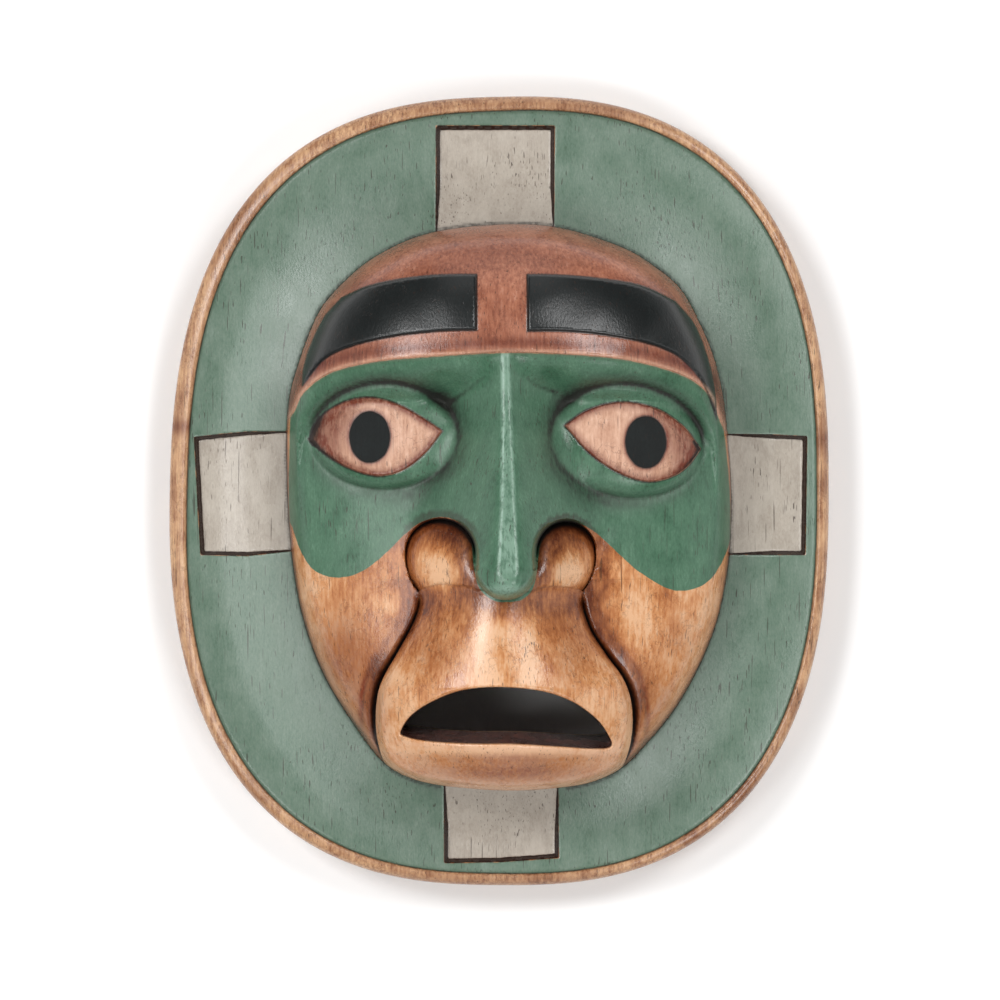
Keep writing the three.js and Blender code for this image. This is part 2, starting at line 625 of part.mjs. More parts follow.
const group = new THREE.Group();
group.name = 'moon_mask_group';
group.add(mask);
export default group;
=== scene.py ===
import math
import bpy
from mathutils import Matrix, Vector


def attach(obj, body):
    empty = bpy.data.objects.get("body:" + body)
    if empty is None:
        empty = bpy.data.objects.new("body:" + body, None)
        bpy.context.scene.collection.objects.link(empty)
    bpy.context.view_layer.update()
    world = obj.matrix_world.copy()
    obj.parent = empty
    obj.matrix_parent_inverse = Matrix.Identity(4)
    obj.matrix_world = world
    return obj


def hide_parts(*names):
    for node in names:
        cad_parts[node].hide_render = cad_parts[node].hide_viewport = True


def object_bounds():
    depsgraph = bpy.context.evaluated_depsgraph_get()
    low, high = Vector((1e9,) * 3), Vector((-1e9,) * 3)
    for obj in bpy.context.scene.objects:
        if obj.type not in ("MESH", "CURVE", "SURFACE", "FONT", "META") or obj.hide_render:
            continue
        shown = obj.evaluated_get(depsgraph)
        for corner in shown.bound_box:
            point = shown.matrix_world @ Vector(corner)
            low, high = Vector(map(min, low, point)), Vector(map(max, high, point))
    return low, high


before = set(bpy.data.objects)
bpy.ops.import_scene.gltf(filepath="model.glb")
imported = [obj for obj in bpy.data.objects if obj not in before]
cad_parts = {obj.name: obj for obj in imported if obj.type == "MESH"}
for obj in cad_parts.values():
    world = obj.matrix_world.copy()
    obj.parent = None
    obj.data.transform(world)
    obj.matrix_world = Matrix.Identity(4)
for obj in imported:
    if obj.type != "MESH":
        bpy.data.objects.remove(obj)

from types import SimpleNamespace

import bpy
import numpy as np
from mathutils import Vector
from mathutils.geometry import delaunay_2d_cdt

# Moon mask: a carved and painted face inside a broad oval ring, cut from one block of wood.
# It lies on its back. Shapes are worked out in millimetres: X to the right, Y to the forehead,
# Z out of the face.
cad_low, cad_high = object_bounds()

# Sizes of the ring
HALF_WIDTH = 137
HALF_HEIGHT = 165.3
ROUNDNESS = 2.55
OUTLINE_LOBES = [-0.29, 0.65, -0.07, 0.66, 0.63, -0.57, -0.32]
BAND_LOBES = [5.05, -1.15, 0.5, 0.35, -0.25]
RIM_TOP = 24
RIM_FALL = 1.6
RIM_EDGE_RADIUS = 2.5
BACK_CHAMFER = 2
RING_AT_RIM = 22
RING_AT_FACE = 26
RING_DISH = 0.13
RING_LOW_SHARE = 0.34
STEP_SLOPE = 1.4
PANEL_DEPTH = 3.4
PANEL_WALL_SLOPE = 2

# Sizes of the face
HEAD_TOP = 63
CHEEK_CURVE = 0.0009
CHEEK_FULLNESS = 4
FOREHEAD_RISE = 61.5
FOREHEAD_CURVE = 0.0016
SOCKET_DEPTH = 7
BROW_THICKNESS = 1.4
EYE_BULGE = 7
LID_STEP = 1.6
LID_WIDTH = 0.8
LID_FOLD = 1.6
LID_FOLD_HALF_WIDTH = 1.9
EYEBALL_RISE = 0.8
MUZZLE_FALL = 21
WING_FALL = 9
WING_EDGE = 4.5
WING_EDGE_RADIUS = 4.5
WING_WALL = 14
NOSE_FLANK = 1.25
NOSE_TIP_RADIUS = 12.5
NOSE_TIP = (2.8, -31.5)
TIP_EDGE = 94
TIP_TOP = 112
NOSE_TOP = 57
GROOVE_DEPTH = 3.2
GROOVE_HALF_WIDTH = 1
GROOVE_TOP = -40
LIP_EDGE_RADIUS = 1.2
LOWEST_OF_FACE = 18
FACE_WAVE_HEIGHT = 0.25
FACE_WAVE_LENGTH = 17
RING_WAVE_HEIGHT = 0.15
RING_WAVE_LENGTH = 22
FACE_WALL = 12.5
HOLLOW_DEPTH = 44
HOLLOW_EDGE_RADIUS = 16
MOUTH_LEDGE = 4.5
PUPIL_CUT = 0.3
SHARP_ANGLE = 75

# Quarter rounds at the edge of the face, one over the other: share of the height and radius
CHEEK_ROUND = [(0.35, 10), (0.65, 48)]
FOREHEAD_ROUND = [(0.3, 10), (0.7, 58)]
LIPS_ROUND = [(0.6, 5), (0.4, 34)]

# Deeper places in the hollow, behind the nose and the mouth: place, half-width, half-height and depth
HOLLOW_DEEPER = [(0, -45, 30, 52, 22), (0, -88, 34, 20, 18)]

# Spacing of the mesh's points and the gap they keep, within reach of carved lines and elsewhere
LINE_GRID = (0.8, 0.52)
LINE_REACH = 1.9
FRONT_GRID = (1.42, 0.92)
BACK_GRID = (4.4, 2)
RIM_STEPS = 720
FACE_STEPS = 700
HOLLOW_STEPS = 400
MOUTH_STEP = 1.1


def ramp(value, start, end):
    """Nothing before start, one after end, straight between"""
    return np.clip((value - start) / (end - start), 0, 1)


def soft(value, start, end):
    """The same with eased ends: 3 t squared less 2 t cubed"""
    t = ramp(value, start, end)
    return t * t * (3 - 2 * t)


def quarter(inward, radius):
    """Quarter round: nothing at the edge, full height one radius in"""
    return np.sqrt(1 - (1 - ramp(inward, 0, radius)) ** 2)


def rounded_in(inward, rounds):
    """Quarter rounds added up, each by its share and radius"""
    return sum(share * quarter(inward, radius) for share, radius in rounds)


def join(a, b, radius):
    """The higher of two surfaces, with a small hollow where they meet"""
    return 0.5 * (a + b + np.hypot(a - b, radius))


def bell(value, middle, width):
    """Bell curve: e to the minus square of the distance from its middle, in widths"""
    return np.exp(-((value - middle) / width) ** 2)


def bump(x, y, width, height):
    """Bell shape: e to the minus square of the distance, by its own width each way"""
    return np.exp(-(x / width) ** 2 - (y / height) ** 2)


def spotted(value, x, y, spots):
    """The value with bell-shaped spots added"""
    for cx, cy, half_wide, half_high, strength in spots:
        value = value + strength * bump(x - cx, y - cy, half_wide, half_high)
    return value


def lobes(angle, sizes):
    """First size plus a cosine and a sine of one turn, of two turns and so on"""
    waves = range(1, (len(sizes) + 1) // 2)
    pairs = [sizes[2 * n - 1] * np.cos(n * angle) + sizes[2 * n] * np.sin(n * angle) for n in waves]
    return sizes[0] + sum(pairs)


def outline_radius(angle):
    """Oval between an ellipse and a rectangle, uneven by hand"""
    across = np.abs(np.cos(angle) / HALF_WIDTH) ** ROUNDNESS
    along = np.abs(np.sin(angle) / HALF_HEIGHT) ** ROUNDNESS
    return (across + along) ** (-1 / ROUNDNESS) + lobes(angle, OUTLINE_LOBES)


def smooth_line(points, closed=False, steps=8):
    """Catmull-Rom curve through a few points"""
    p = np.array(points, float)
    if closed:
        p = np.vstack([p[-1:], p, p[:2]])
    else:
        p = np.vstack([2 * p[:1] - p[1:2], p, 2 * p[-1:] - p[-2:-1]])
    a, b, c, d = p[:-3, None], p[1:-2, None], p[2:-1, None], p[3:, None]
    t = np.linspace(0, 1, steps, endpoint=False)[:, None]
    bend = (2 * a - 5 * b + 4 * c - d) * t ** 2 + (3 * b - a - 3 * c + d) * t ** 3
    line = (b + 0.5 * ((c - a) * t + bend)).reshape(-1, 2)
    return line if closed else np.vstack([line, p[-2:-1]])


def cornered(sides):
    """Closed outline whose smooth sides meet at corners"""
    line = np.vstack([smooth_line(side)[:-1] for side in sides])
    if sides[-1][-1] == sides[0][0]:
        return line
    return np.vstack([line, sides[-1][-1]])


def inside(x, y, line, reach=15):
    """Distance in from a closed outline, below zero outside it and no lower than -reach"""
    low, high = line.min(axis=0) - reach, line.max(axis=0) + reach
    close = (x > low[0]) & (x < high[0]) & (y > low[1]) & (y < high[1])
    px, py = x[close], y[close]
    nearest = np.full(px.shape, reach ** 2, float)
    within = np.zeros(px.shape, bool)
    for (ax, ay), (bx, by) in zip(line, np.roll(line, -1, axis=0)):
        ex, ey = bx - ax, by - ay
        along = np.clip(((px - ax) * ex + (py - ay) * ey) / (ex * ex + ey * ey), 0, 1)
        nearest = np.minimum(nearest, (px - ax - along * ex) ** 2 + (py - ay - along * ey) ** 2)
        if ay != by:
            within ^= ((ay > py) != (by > py)) & (px < ex * (py - ay) / (by - ay) + ax)
    result = np.full(x.shape, -float(reach))
    result[close] = np.where(within, 1, -1) * np.sqrt(nearest)
    return result


def above(x, y, line):
    """Height over a line that runs across the face, measured square to it"""
    slope = np.gradient(line[:, 1], line[:, 0])
    lean = np.hypot(1, np.interp(x, line[:, 0], slope))
    return (y - np.interp(x, *line.T)) / lean


def beside(x, y, line):
    """Distance to the right of a line that runs up and down, measured square to it"""
    return above(y, x, line[::-1, ::-1])


class RoundOutline:
    """A closed outline seen from its middle, as radius against angle"""

    def __init__(self, middle, line):
        self.middle = middle
        away = line - np.array(middle)
        angle = np.arctan2(away[:, 1], away[:, 0])
        order = np.argsort(angle)
        self.angle = np.linspace(-math.pi, math.pi, 721)
        self.radius = np.interp(self.angle, angle[order], np.hypot(*away.T)[order], period=2 * math.pi)
        self.lean = self.radius / np.hypot(self.radius, np.gradient(self.radius, self.angle))

    def inside(self, x, y):
        """Radius of the outline less that of the point, times the cosine of the outline's lean"""
        dx, dy = x - self.middle[0], y - self.middle[1]
        angle = np.arctan2(dy, dx)
        gap = np.interp(angle, self.angle, self.radius) - np.hypot(dx, dy)
        return gap * np.interp(angle, self.angle, self.lean)

    def loop(self, count, depth):
        """Points round the outline, a depth in from it"""
        angle = np.linspace(-math.pi, math.pi, count, endpoint=False)
        radius = np.interp(angle, self.angle, self.radius) - depth / np.interp(angle, self.angle, self.lean)
        x = self.middle[0] + radius * np.cos(angle)
        y = self.middle[1] + radius * np.sin(angle)
        return np.column_stack([x, y])


# Outline of the face where it stands out of the ring
FACE = RoundOutline((4.2, -3.5), smooth_line([
    (0.4, 110.8), (25.3, 109.4), (50.6, 101.5), (63.9, 93.8), (75.1, 84.3), (82.2, 72), (88.4, 57.9),
    (92.6, 41.7), (94.6, 25.5), (96.1, 6.8), (96.3, -11.8), (95.1, -30.5), (90.9, -52.1),
    (83.4, -71.6), (72.6, -90.7), (59.8, -106.1), (50.2, -115.2), (37.4, -120.8), (22, -123.1),
    (5.8, -123.9), (-12, -123.1), (-29.9, -120.8), (-41.9, -116.6), (-51.1, -109), (-61.9, -94),
    (-72.2, -77), (-80.1, -56.7), (-84.7, -35.9), (-87.2, -11.8), (-88.2, 15.2), (-87.6, 33.8),
    (-84.3, 49.6), (-75.1, 73.7), (-63.5, 87.8), (-49.4, 98.6), (-28.6, 107.3)], True))

# The open mouth: a high arch over a nearly straight lower lip
MOUTH_MIDDLE = (2.4, -96)
MOUTH = smooth_line([
    (-40.2, -98.1), (-36.1, -91.5), (-28, -85.8), (-15.8, -80.8), (-0.8, -79.2), (16.6, -80.8),
    (29.6, -85.3), (39.4, -92.3), (44.3, -98.9), (45.9, -104.2), (39, -105), (23.5, -103.7),
    (5.7, -102.5), (-11.8, -102.5), (-29.2, -101.7), (-38.2, -100.1)], True, 10)

# Sharp lower edge of the forehead, from temple to temple
RIDGE = smooth_line([
    (-94.7, 21.3), (-85.2, 32.7), (-80.5, 40.9), (-69.1, 48.9), (-50.5, 53.2), (-28, 55.1),
    (0.4, 56.6), (24.8, 56.2), (49.2, 54.3), (67.8, 50.4), (80.3, 45.3), (87.6, 38.4),
    (92, 28.3), (99.6, 13)])

BROWS = [
    cornered([
        [(-8.9, 65.3), (-24, 64.9), (-42.4, 63), (-58.9, 59.5), (-71.4, 54), (-80.8, 43.5)],
        [(-80.8, 43.5), (-80.4, 50.9), (-77.5, 60.4), (-72.1, 71.4), (-64.6, 79.6)],
        [(-64.6, 79.6), (-52.9, 84.3), (-36.4, 87.3), (-22.1, 88.4), (-9, 88.4)]]),
    cornered([
        [(11.4, 64.9), (26.9, 64.9), (43.2, 63.4), (61.7, 59.9), (74.3, 54.4), (84.1, 43.5), (89.7, 29.6)],
        [(89.7, 29.6), (88.4, 44), (85.5, 56.4), (80.5, 68.7), (72.5, 78)],
        [(72.5, 78), (57.9, 84.3), (41.3, 86.9), (24.9, 88.2), (11.4, 88.4)]])]

# Each eye: the almond opening, the rounded orb that carries its lids, its socket and its pupil
EYES = [
    dict(opening=cornered([
        [(-78.5, 21.2), (-73.6, 30.6), (-63.1, 36.9), (-52, 38.5), (-40.5, 35.4), (-30.3, 29.7),
         (-22.9, 24.8)],
        [(-22.9, 24.8), (-30.3, 15.3), (-39.7, 8.4), (-50.3, 6.3), (-61.9, 9.6), (-71.5, 15.4),
         (-78.5, 21.2)]]),
        orb=(-46.7, 22.7, 30, 21.5), tilt=0, socket=(-21.7, 36.7), pupil=(-52.9, 22.3, 8.4, 10.5)),
    dict(opening=cornered([
        [(26.6, 27), (35.2, 32.9), (45.4, 36.2), (55.2, 36.4), (66, 33.4), (76.1, 26.5), (83.1, 17.5)],
        [(83.1, 17.5), (77.7, 10.5), (70.9, 5.9), (61, 3.9), (49.5, 7.2), (37.2, 15.3), (26.6, 27)]]),
        orb=(52.4, 20.7, 31.5, 23), tilt=-0.12, socket=(21.3, 39.2), pupil=(60.1, 20.2, 8.4, 10.7))]

# Grooves from the wings of the nose round the muzzle, top to bottom
GROOVES = [
    smooth_line([
        (-38.7, -19.8), (-37.9, -29.9), (-32.6, -42.5), (-34.6, -52.7), (-41.2, -65.4), (-47.7, -76.9),
        (-50.2, -86), (-50.6, -97.7), (-48.6, -108.5), (-44.2, -121.3)]),
    smooth_line([
        (41.6, -19.8), (40.7, -32), (34.2, -42.5), (37, -55.6), (44, -67), (51, -76.9),
        (54.5, -87.6), (54.5, -100.9), (51.5, -112.6), (45.9, -123.4)])]

# Wings of the nose and the line they sit on
WINGS = [(-24, -25.5, 14.3, 14), (27.4, -25.5, 12.1, 13)]
NOSE_BASE = smooth_line([
    (-42.3, -45.8), (-33.7, -41.2), (-28, -38.5), (-22.3, -37.7), (-11.7, -38.7), (-7.7, -39.9),
    (11.7, -40.7), (15, -39.9), (19.9, -38.7), (25.9, -38.7), (32.1, -40), (37.8, -42.9),
    (44.3, -46.6)])

# Top of the nose from brow to tip: fall of y, height, sideways position, half-width
NOSE_RIDGE = np.array([
    (-56.6, 84.5, 2.4, 0.3), (-28.9, 90, 3.2, 0.8), (3.4, 101, 3.6, 1.6), (27.5, 109, 3.6, 2.6),
    (37.5, 112, 3.6, 3)])

MUZZLE_TOP = np.array([(42, 86), (60, 89), (80, 92), (100, 90), (130, 84)])

# Four sunk panels in the ring, like the arms of a cross
PANELS = [np.array(corners, float) for corners in (
    [(-26.3, 152.5), (23.3, 152.5), (22.9, 104.8), (-26.3, 104.8)],
    [(-127.1, 22.7), (-116.3, 24), (-105, 25), (-82.9, 25), (-82.9, -24.4), (-105, -26.9), (-124.4, -26.5)],
    [(92.1, 24), (112.9, 23.8), (128.4, 23.1), (127.7, -26.5), (92.1, -26.3)],
    [(-22.9, -118.2), (24.6, -118.2), (25, -152.7), (0.4, -154.4), (-22.9, -154.8)])]

# Lower border of the green paint on the face, over the wings and round the tip of the nose
GREEN_BORDER = smooth_line([
    (-92, -6), (-86.1, -13.8), (-81.7, -24.9), (-75.9, -32.6), (-66.3, -35.4), (-55.6, -32.5),
    (-45.8, -24.7), (-38.8, -17.8), (-31.5, -12.4), (-22.5, -10.4), (-15.6, -13.2), (-11.6, -19.5),
    (-10.2, -31), (-7.8, -39.4), (-2.8, -44), (3.6, -44.9), (9.6, -43.7), (13.8, -39.2), (15.6, -31),
    (16.8, -22), (20.4, -16), (27, -12.6), (33, -13.2), (39.6, -16.9), (48.2, -24.7), (56.9, -32.5),
    (67.6, -39.1), (75.9, -40.8), (85.6, -37.6), (92.9, -27.9), (98, -14)])
GREEN_AREA = np.vstack([GREEN_BORDER, [(130, 80), (-130, 80)]])

# Darker spots in the stain of the bare wood: place, half-width, half-height and strength
STAINS = [
    (-65, -70, 12, 20, 0.8), (-54, -93, 8, 14, 0.5), (64, -86, 11, 16, 0.45), (74, -60, 7, 9, 0.3),
    (-28, -64, 11, 15, 0.35), (30, -66, 11, 15, 0.35), (4, -114, 40, 6, 0.85), (4, -108, 40, 2, 0.4),
    (-26, 91, 16, 4, 0.4), (25, 94, 14, 4, 0.35), (99, -120, 13, 20, 0.8), (79, -143, 9, 5, 0.7),
    (122, -88, 4, 8, 0.5), (-103, -124, 7, 7, 0.4), (135, 3, 2.5, 4, 0.6), (45, 158, 16, 4, 0.4),
    (-108, 112, 20, 26, 0.5), (-4, 98, 22, 6, 0.5), (1, 73, 7, 10, 0.3), (-56, 84, 14, 4, 0.4),
    (60, 82, 12, 4, 0.4), (0, 162, 70, 4, 0.3), (0, -162, 70, 4, 0.35)]

# Painted highlights that make the bare wood paler, on the wings, beside the grooves, down the muzzle and
# along the lower lip, in the same order
HIGHLIGHT_SPOTS = [
    (-24, -32, 9, 7, 0.7), (28, -32, 8, 7, 0.9), (-45, -50, 5, 13, 0.4), (56, -52, 8, 15, 0.6),
    (-6, -60, 4, 20, 0.7), (13, -62, 4, 20, 0.5), (3, -64, 9, 18, 0.3), (4, -106, 38, 2, 0.5)]

# Painted shade beside the nose, under the inner corners of the eyes, in the same order
SHADE_SMUDGES = [(-33, -5, 13, 7, 0.22), (39, -3, 13, 8, 0.22)]

# Brushed lines of wash from the inner corners of the eyes up to the bridge of the nose
BRIDGE_LINES = [smooth_line([(-25, 33.5), (-16, 39), (-3, 49)]), smooth_line([(8, 49), (16, 43), (26, 40)])]


def unevenness(x, y, size):
    """Slight waves left by hand tools: five sine waves across each other"""
    total = 0
    for n, turn in enumerate((0.3, 1.5, 2.4, 3.9, 5.2)):
        across = x * math.cos(turn) + y * math.sin(turn)
        total = total + np.sin(across * (1 + 0.17 * n) * math.pi / size + 2.1 * n)
    return total / 5


def distances(x, y):
    """Distance in mm of every point from each carved line, by name"""
    angle, radius = np.arctan2(y, x), np.hypot(x, y)
    outer = outline_radius(angle)
    d = SimpleNamespace(rim=outer - radius, band=outer - lobes(angle, BAND_LOBES) - radius)
    d.face = FACE.inside(x, y)
    d.ridge = above(x, y, RIDGE)
    d.brow = np.maximum(*[inside(x, y, brow) for brow in BROWS])
    d.eyes = [inside(x, y, eye["opening"]) for eye in EYES]
    d.eye = np.maximum(*d.eyes)
    pupils = []
    for cx, cy, wide, high in (eye["pupil"] for eye in EYES):
        pupils.append(wide * (1 - np.hypot((x - cx) / wide, (y - cy) / high)))
    d.pupil = np.maximum(*pupils)
    d.panel = np.max([inside(x, y, panel) for panel in PANELS], axis=0)
    d.mouth = inside(x, y, MOUTH)
    d.nose_base = y - np.interp(x, *NOSE_BASE.T)
    d.grooves = [beside(x, y, line) for line in GROOVES]
    d.folds = []
    for eye in EYES:
        cx, cy, long, tall = eye["orb"]
        c, s = math.cos(eye["tilt"]), math.sin(eye["tilt"])
        u, v = ((x - cx) * c + (y - cy) * s) / long, ((y - cy) * c - (x - cx) * s) / tall
        out = np.hypot(u, v)
        beyond = np.hypot(x - cx, y - cy) * (1 - 1 / np.maximum(out, 0.1))
        deep = 0.35 + 1.1 * soft(v, -0.3, 0.7) + 0.6 * soft(-np.sign(cx) * u, 0.2, 0.9)
        d.folds.append((out, beyond, deep, soft(-v, 0, 0.8)))
    d.groove = np.where(x < NOSE_TIP[0], d.grooves[0], -d.grooves[1])
    d.wings = []
    for cx, cy, wide, high in WINGS:
        to_nose = ((x - cx) * cx < 0) & (np.abs(x - cx) < abs(NOSE_TIP[0] - cx))
        up = (y - cy) / high / np.where(y > cy, 1, np.where(to_nose, 4, 1.4))
        out = np.hypot((x - cx) / wide, up)
        out = np.where(to_nose & (y < NOSE_TIP[1]), np.minimum(out, 0.95), out)
        d.wings.append((out, np.where(to_nose, soft(y, -37, -24), 1)))
    return d


def panel_depth(d):
    """Full depth by the rim and a third of it against the face"""
    return PANEL_DEPTH * (0.35 + 0.65 * ramp(-d.face, 0, 18))


def plate(d):
    """Rim, dished ring and sunk panels"""
    worn = RIM_FALL * ramp(-d.band, 0, 5) ** 1.5
    rim = RIM_TOP - worn - 3 * (1 - quarter(d.rim, RIM_EDGE_RADIUS))
    from_rim, from_face = np.maximum(d.band, 0), np.maximum(-d.face, 0)
    t = from_rim / (from_rim + from_face + 1e-6)
    low = RING_AT_FACE - RING_DISH * (from_rim + from_face)
    fall = np.maximum(RING_AT_RIM - low, 0) * (1 - ramp(t, 0, RING_LOW_SHARE)) ** 2
    climb = (RING_AT_FACE - low) * ramp(t, RING_LOW_SHARE, 1) ** 1.5
    ring = low + fall + climb
    sunk = np.clip(PANEL_WALL_SLOPE * d.panel, 0, panel_depth(d))
    inner = np.maximum(ring, RIM_TOP - STEP_SLOPE * from_rim) - sunk
    return np.where(d.band > 0, inner, rim)


def head(x, y, d):
    """Cheeks and forehead: each a quarter round in from the outline, with a shelf under the ridge"""
    cheek_top = HEAD_TOP - CHEEK_CURVE * x ** 2 + CHEEK_FULLNESS * bump(x, y + 55, 60, 50)
    cheek = RING_AT_FACE + (cheek_top - RING_AT_FACE) * rounded_in(d.face, CHEEK_ROUND)
    rise = FOREHEAD_RISE - FOREHEAD_CURVE * x ** 2
    forehead = RING_AT_FACE + rise * rounded_in(d.face, FOREHEAD_ROUND)
    under = np.maximum(-d.ridge, 0)
    shelf = forehead - 1.6 * (1 - np.exp(-under / 0.6)) - 0.3 * under - 0.036 * under ** 2
    z = join(cheek, shelf, 3)
    for eye in EYES:
        cx, cy = eye["socket"]
        z = z - SOCKET_DEPTH * bump(x - cx, y - cy, 8, 9) * soft(under, 2, 10)
    return np.where(d.ridge > 0, np.maximum(z, forehead), z), cheek


def add_eyes(z, cheek, d):
    """Rounded orbs in a folded edge, each with an almond opening stepped down to the eyeball"""
    for (out, beyond, deep, _), in_eye in zip(d.folds, d.eyes):
        down = LID_STEP * ramp(in_eye, 0, LID_WIDTH)
        step = np.where(in_eye > 0, down - EYEBALL_RISE * soft(in_eye, LID_WIDTH, 10), 0)
        bulge = EYE_BULGE * np.maximum(0, 1 - out ** 4) ** 0.7
        z = np.where(out < 1, join(z, cheek + bulge - step, 1), z)
        z = z - LID_FOLD * deep * bell(beyond, 0, LID_FOLD_HALF_WIDTH) * (d.ridge < -1)
    return z - PUPIL_CUT * bell(d.pupil, 0, 0.4)


def muzzle(x, y, d):
    """Upper lip, mouth and lower lip: one rounded mass between the two grooves"""
    left, right = (np.interp(-y, -line[:, 1], line[:, 0]) for line in GROOVES)
    sideways = np.abs((x - (left + right) / 2) / ((right - left) / 2))
    fall = MUZZLE_FALL * np.minimum(sideways, 1) ** 1.8
    top = np.interp(-y, *MUZZLE_TOP.T) - fall
    z = RING_AT_FACE + (top - RING_AT_FACE) * rounded_in(d.face, LIPS_ROUND)
    return z, (sideways < 1) & (d.nose_base < 0)


def nose(x, y):
    """Ridge with straight flanks, ending below in a round tip"""
    height, middle, half_wide = (np.interp(-y, NOSE_RIDGE[:, 0], NOSE_RIDGE[:, k]) for k in (1, 2, 3))
    below = np.minimum(0, y - NOSE_TIP[1])
    flank = np.maximum(0, np.hypot(x - middle, below) - half_wide)
    edge = 0.8 + 1.2 * half_wide
    sloped = height - NOSE_FLANK * (np.hypot(flank, edge) - edge)
    z = sloped - 0.5 * np.maximum(0, flank - 14) * soft(-y, 6, 30)
    in_tip = NOSE_TIP_RADIUS - np.hypot(x - NOSE_TIP[0], below)
    tip = np.where(in_tip < 0, 0, np.minimum(z, TIP_EDGE + (TIP_TOP - TIP_EDGE) * quarter(in_tip, 8)))
    z = np.where(below < 0, tip, z)
    return np.where(y > NOSE_TOP, 0, z)


def add_wings(y, z, lips, tip, d):
    """Wings of the nose: level with the lip below, sunk into a steep cut under the cheek above"""
    for (out, rounded), (_, middle, wide, high) in zip(d.wings, WINGS):
        sunk = WING_FALL * ramp(y, -40, middle + high) ** 1.5
        edge = lips + 1 - sunk - WING_EDGE * rounded
        dome = edge + WING_EDGE * rounded * quarter(wide * (1 - out), WING_EDGE_RADIUS)
        wing = np.where(y < NOSE_TIP[1], np.maximum(dome, tip), dome)
        cut = np.where(out < 1, wing, np.minimum(z, edge + WING_WALL * wide * (out - 1)))
        z = np.where(d.nose_base > 0, cut, z)
    return z


def front(x, y, d):
    """Height of the carved front"""
    z, cheek = head(x, y, d)
    z = add_eyes(z, cheek, d)
    lips, on_lips = muzzle(x, y, d)
    z = np.where(on_lips, lips, z)
    ridge = nose(x, y)
    z = join(z, ridge, 1 + 7 * soft(y, -34, -10))
    z = add_wings(y, z, lips, ridge, d)
    lower = ramp(-y, 55, 110)
    for away in d.grooves:
        cut = bell(away, 0, GROOVE_HALF_WIDTH * (1 + 1.2 * lower))
        z = z - GROOVE_DEPTH * (1 + 0.7 * lower) * cut * ramp(d.face, 0, 4) * ramp(-y, 42, 46)
    z = z + BROW_THICKNESS * ramp(d.brow, 0, 0.9)
    z = z - LIP_EDGE_RADIUS * (1 - quarter(-d.mouth, LIP_EDGE_RADIUS)) * (d.face > 3)
    z = z + FACE_WAVE_HEIGHT * unevenness(x, y, FACE_WAVE_LENGTH) * ramp(d.face, 2, 12)
    plain = plate(d) + RING_WAVE_HEIGHT * unevenness(x, y, RING_WAVE_LENGTH) * ramp(d.band, 0, 6)
    return np.where(d.face > 0, np.maximum(z, LOWEST_OF_FACE), plain)


def back(x, y):
    """Height of the hollow back, nothing where the back is flat"""
    depth = spotted(HOLLOW_DEPTH, x, y, HOLLOW_DEEPER)
    return depth * quarter(FACE.inside(x, y) - FACE_WALL, HOLLOW_EDGE_RADIUS)


def evenly(line, closed, spacing):
    """Points at even spacing along a line, and the direction to its left at each"""
    path = np.vstack([line, line[:1]]) if closed else line
    travelled = np.concatenate([[0], np.cumsum(np.hypot(*np.diff(path, axis=0).T))])
    total = travelled[-1]
    at = np.linspace(0, total, max(2, round(total / spacing)), endpoint=not closed)

    def place(distance):
        distance = distance % total if closed else np.clip(distance, 0, total)
        return np.column_stack([np.interp(distance, travelled, path[:, k]) for k in (0, 1)])

    ahead = place(at + 0.4) - place(at - 0.4)
    ahead /= np.hypot(*ahead.T)[:, None]
    return place(at), np.column_stack([-ahead[:, 1], ahead[:, 0]])


def rows(line, closed, spacing, offsets):
    """Rows of points beside a line, at offsets to its left, inward if it is closed"""
    points, left = evenly(line, closed, spacing)
    if closed:
        x, y = line.T
        left = left * np.sign(np.sum(x * np.roll(y, -1) - np.roll(x, -1) * y))
    return np.vstack([points + offset * left for offset in offsets])


def grid(spacing, half_wide=140, half_high=168):
    """Points on a staggered grid over the whole mask"""
    across = np.arange(-half_wide, half_wide, spacing)
    up = np.arange(-half_high, half_high, spacing * 0.866)
    x, y = np.meshgrid(across, up)
    x = x + spacing / 2 * (np.arange(len(up)) % 2)[:, None]
    return np.column_stack([x.ravel(), y.ravel()])


class Sheet:
    """Scattered points in batches, where a later batch keeps clear of the earlier ones"""
    CELL = 0.2
    CORNER = np.array([-142, -170])

    def __init__(self):
        self.taken = np.zeros((1420, 1700), bool)
        self.batches = []

    def cells(self, points):
        return tuple(((points - self.CORNER) / self.CELL).astype(int).T)

    def near(self, points, gap):
        """Whether each point has an earlier one within the gap, told from the cells round it"""
        reach = math.ceil(gap / self.CELL)
        covered = np.zeros_like(self.taken)
        for across in range(-reach, reach + 1):
            for up in range(-reach, reach + 1):
                if math.hypot(across, up) * self.CELL < gap:
                    covered |= np.roll(self.taken, (across, up), (0, 1))
        return covered[self.cells(points)]

    def add(self, points, gap=0, keep=None):
        if keep is not None:
            points = points[keep(*points.T)]
        if gap:
            points = points[~self.near(points, gap)]
            thinned = np.unique(np.floor(points / min(gap, 0.18)), axis=0, return_index=True)[1]
            points = points[np.sort(thinned)]
        self.taken[self.cells(points)] = True
        self.batches.append(points)

    @property
    def points(self):
        return np.vstack(self.batches)


def triangles(points, hole):
    """Delaunay triangles of scattered points, anticlockwise, none of them in the hole"""
    corners = np.array(delaunay_2d_cdt(list(map(Vector, points.tolist())), [], [], 0, 1e-7, False)[2])
    a, b, c = (points[corners[:, k]] for k in range(3))
    turn = (b[:, 0] - a[:, 0]) * (c[:, 1] - a[:, 1]) - (b[:, 1] - a[:, 1]) * (c[:, 0] - a[:, 0])
    corners = np.where(turn[:, None] > 0, corners, corners[:, ::-1])
    middle = (a + b + c) / 3
    return corners[inside(*middle.T, hole) < 0]


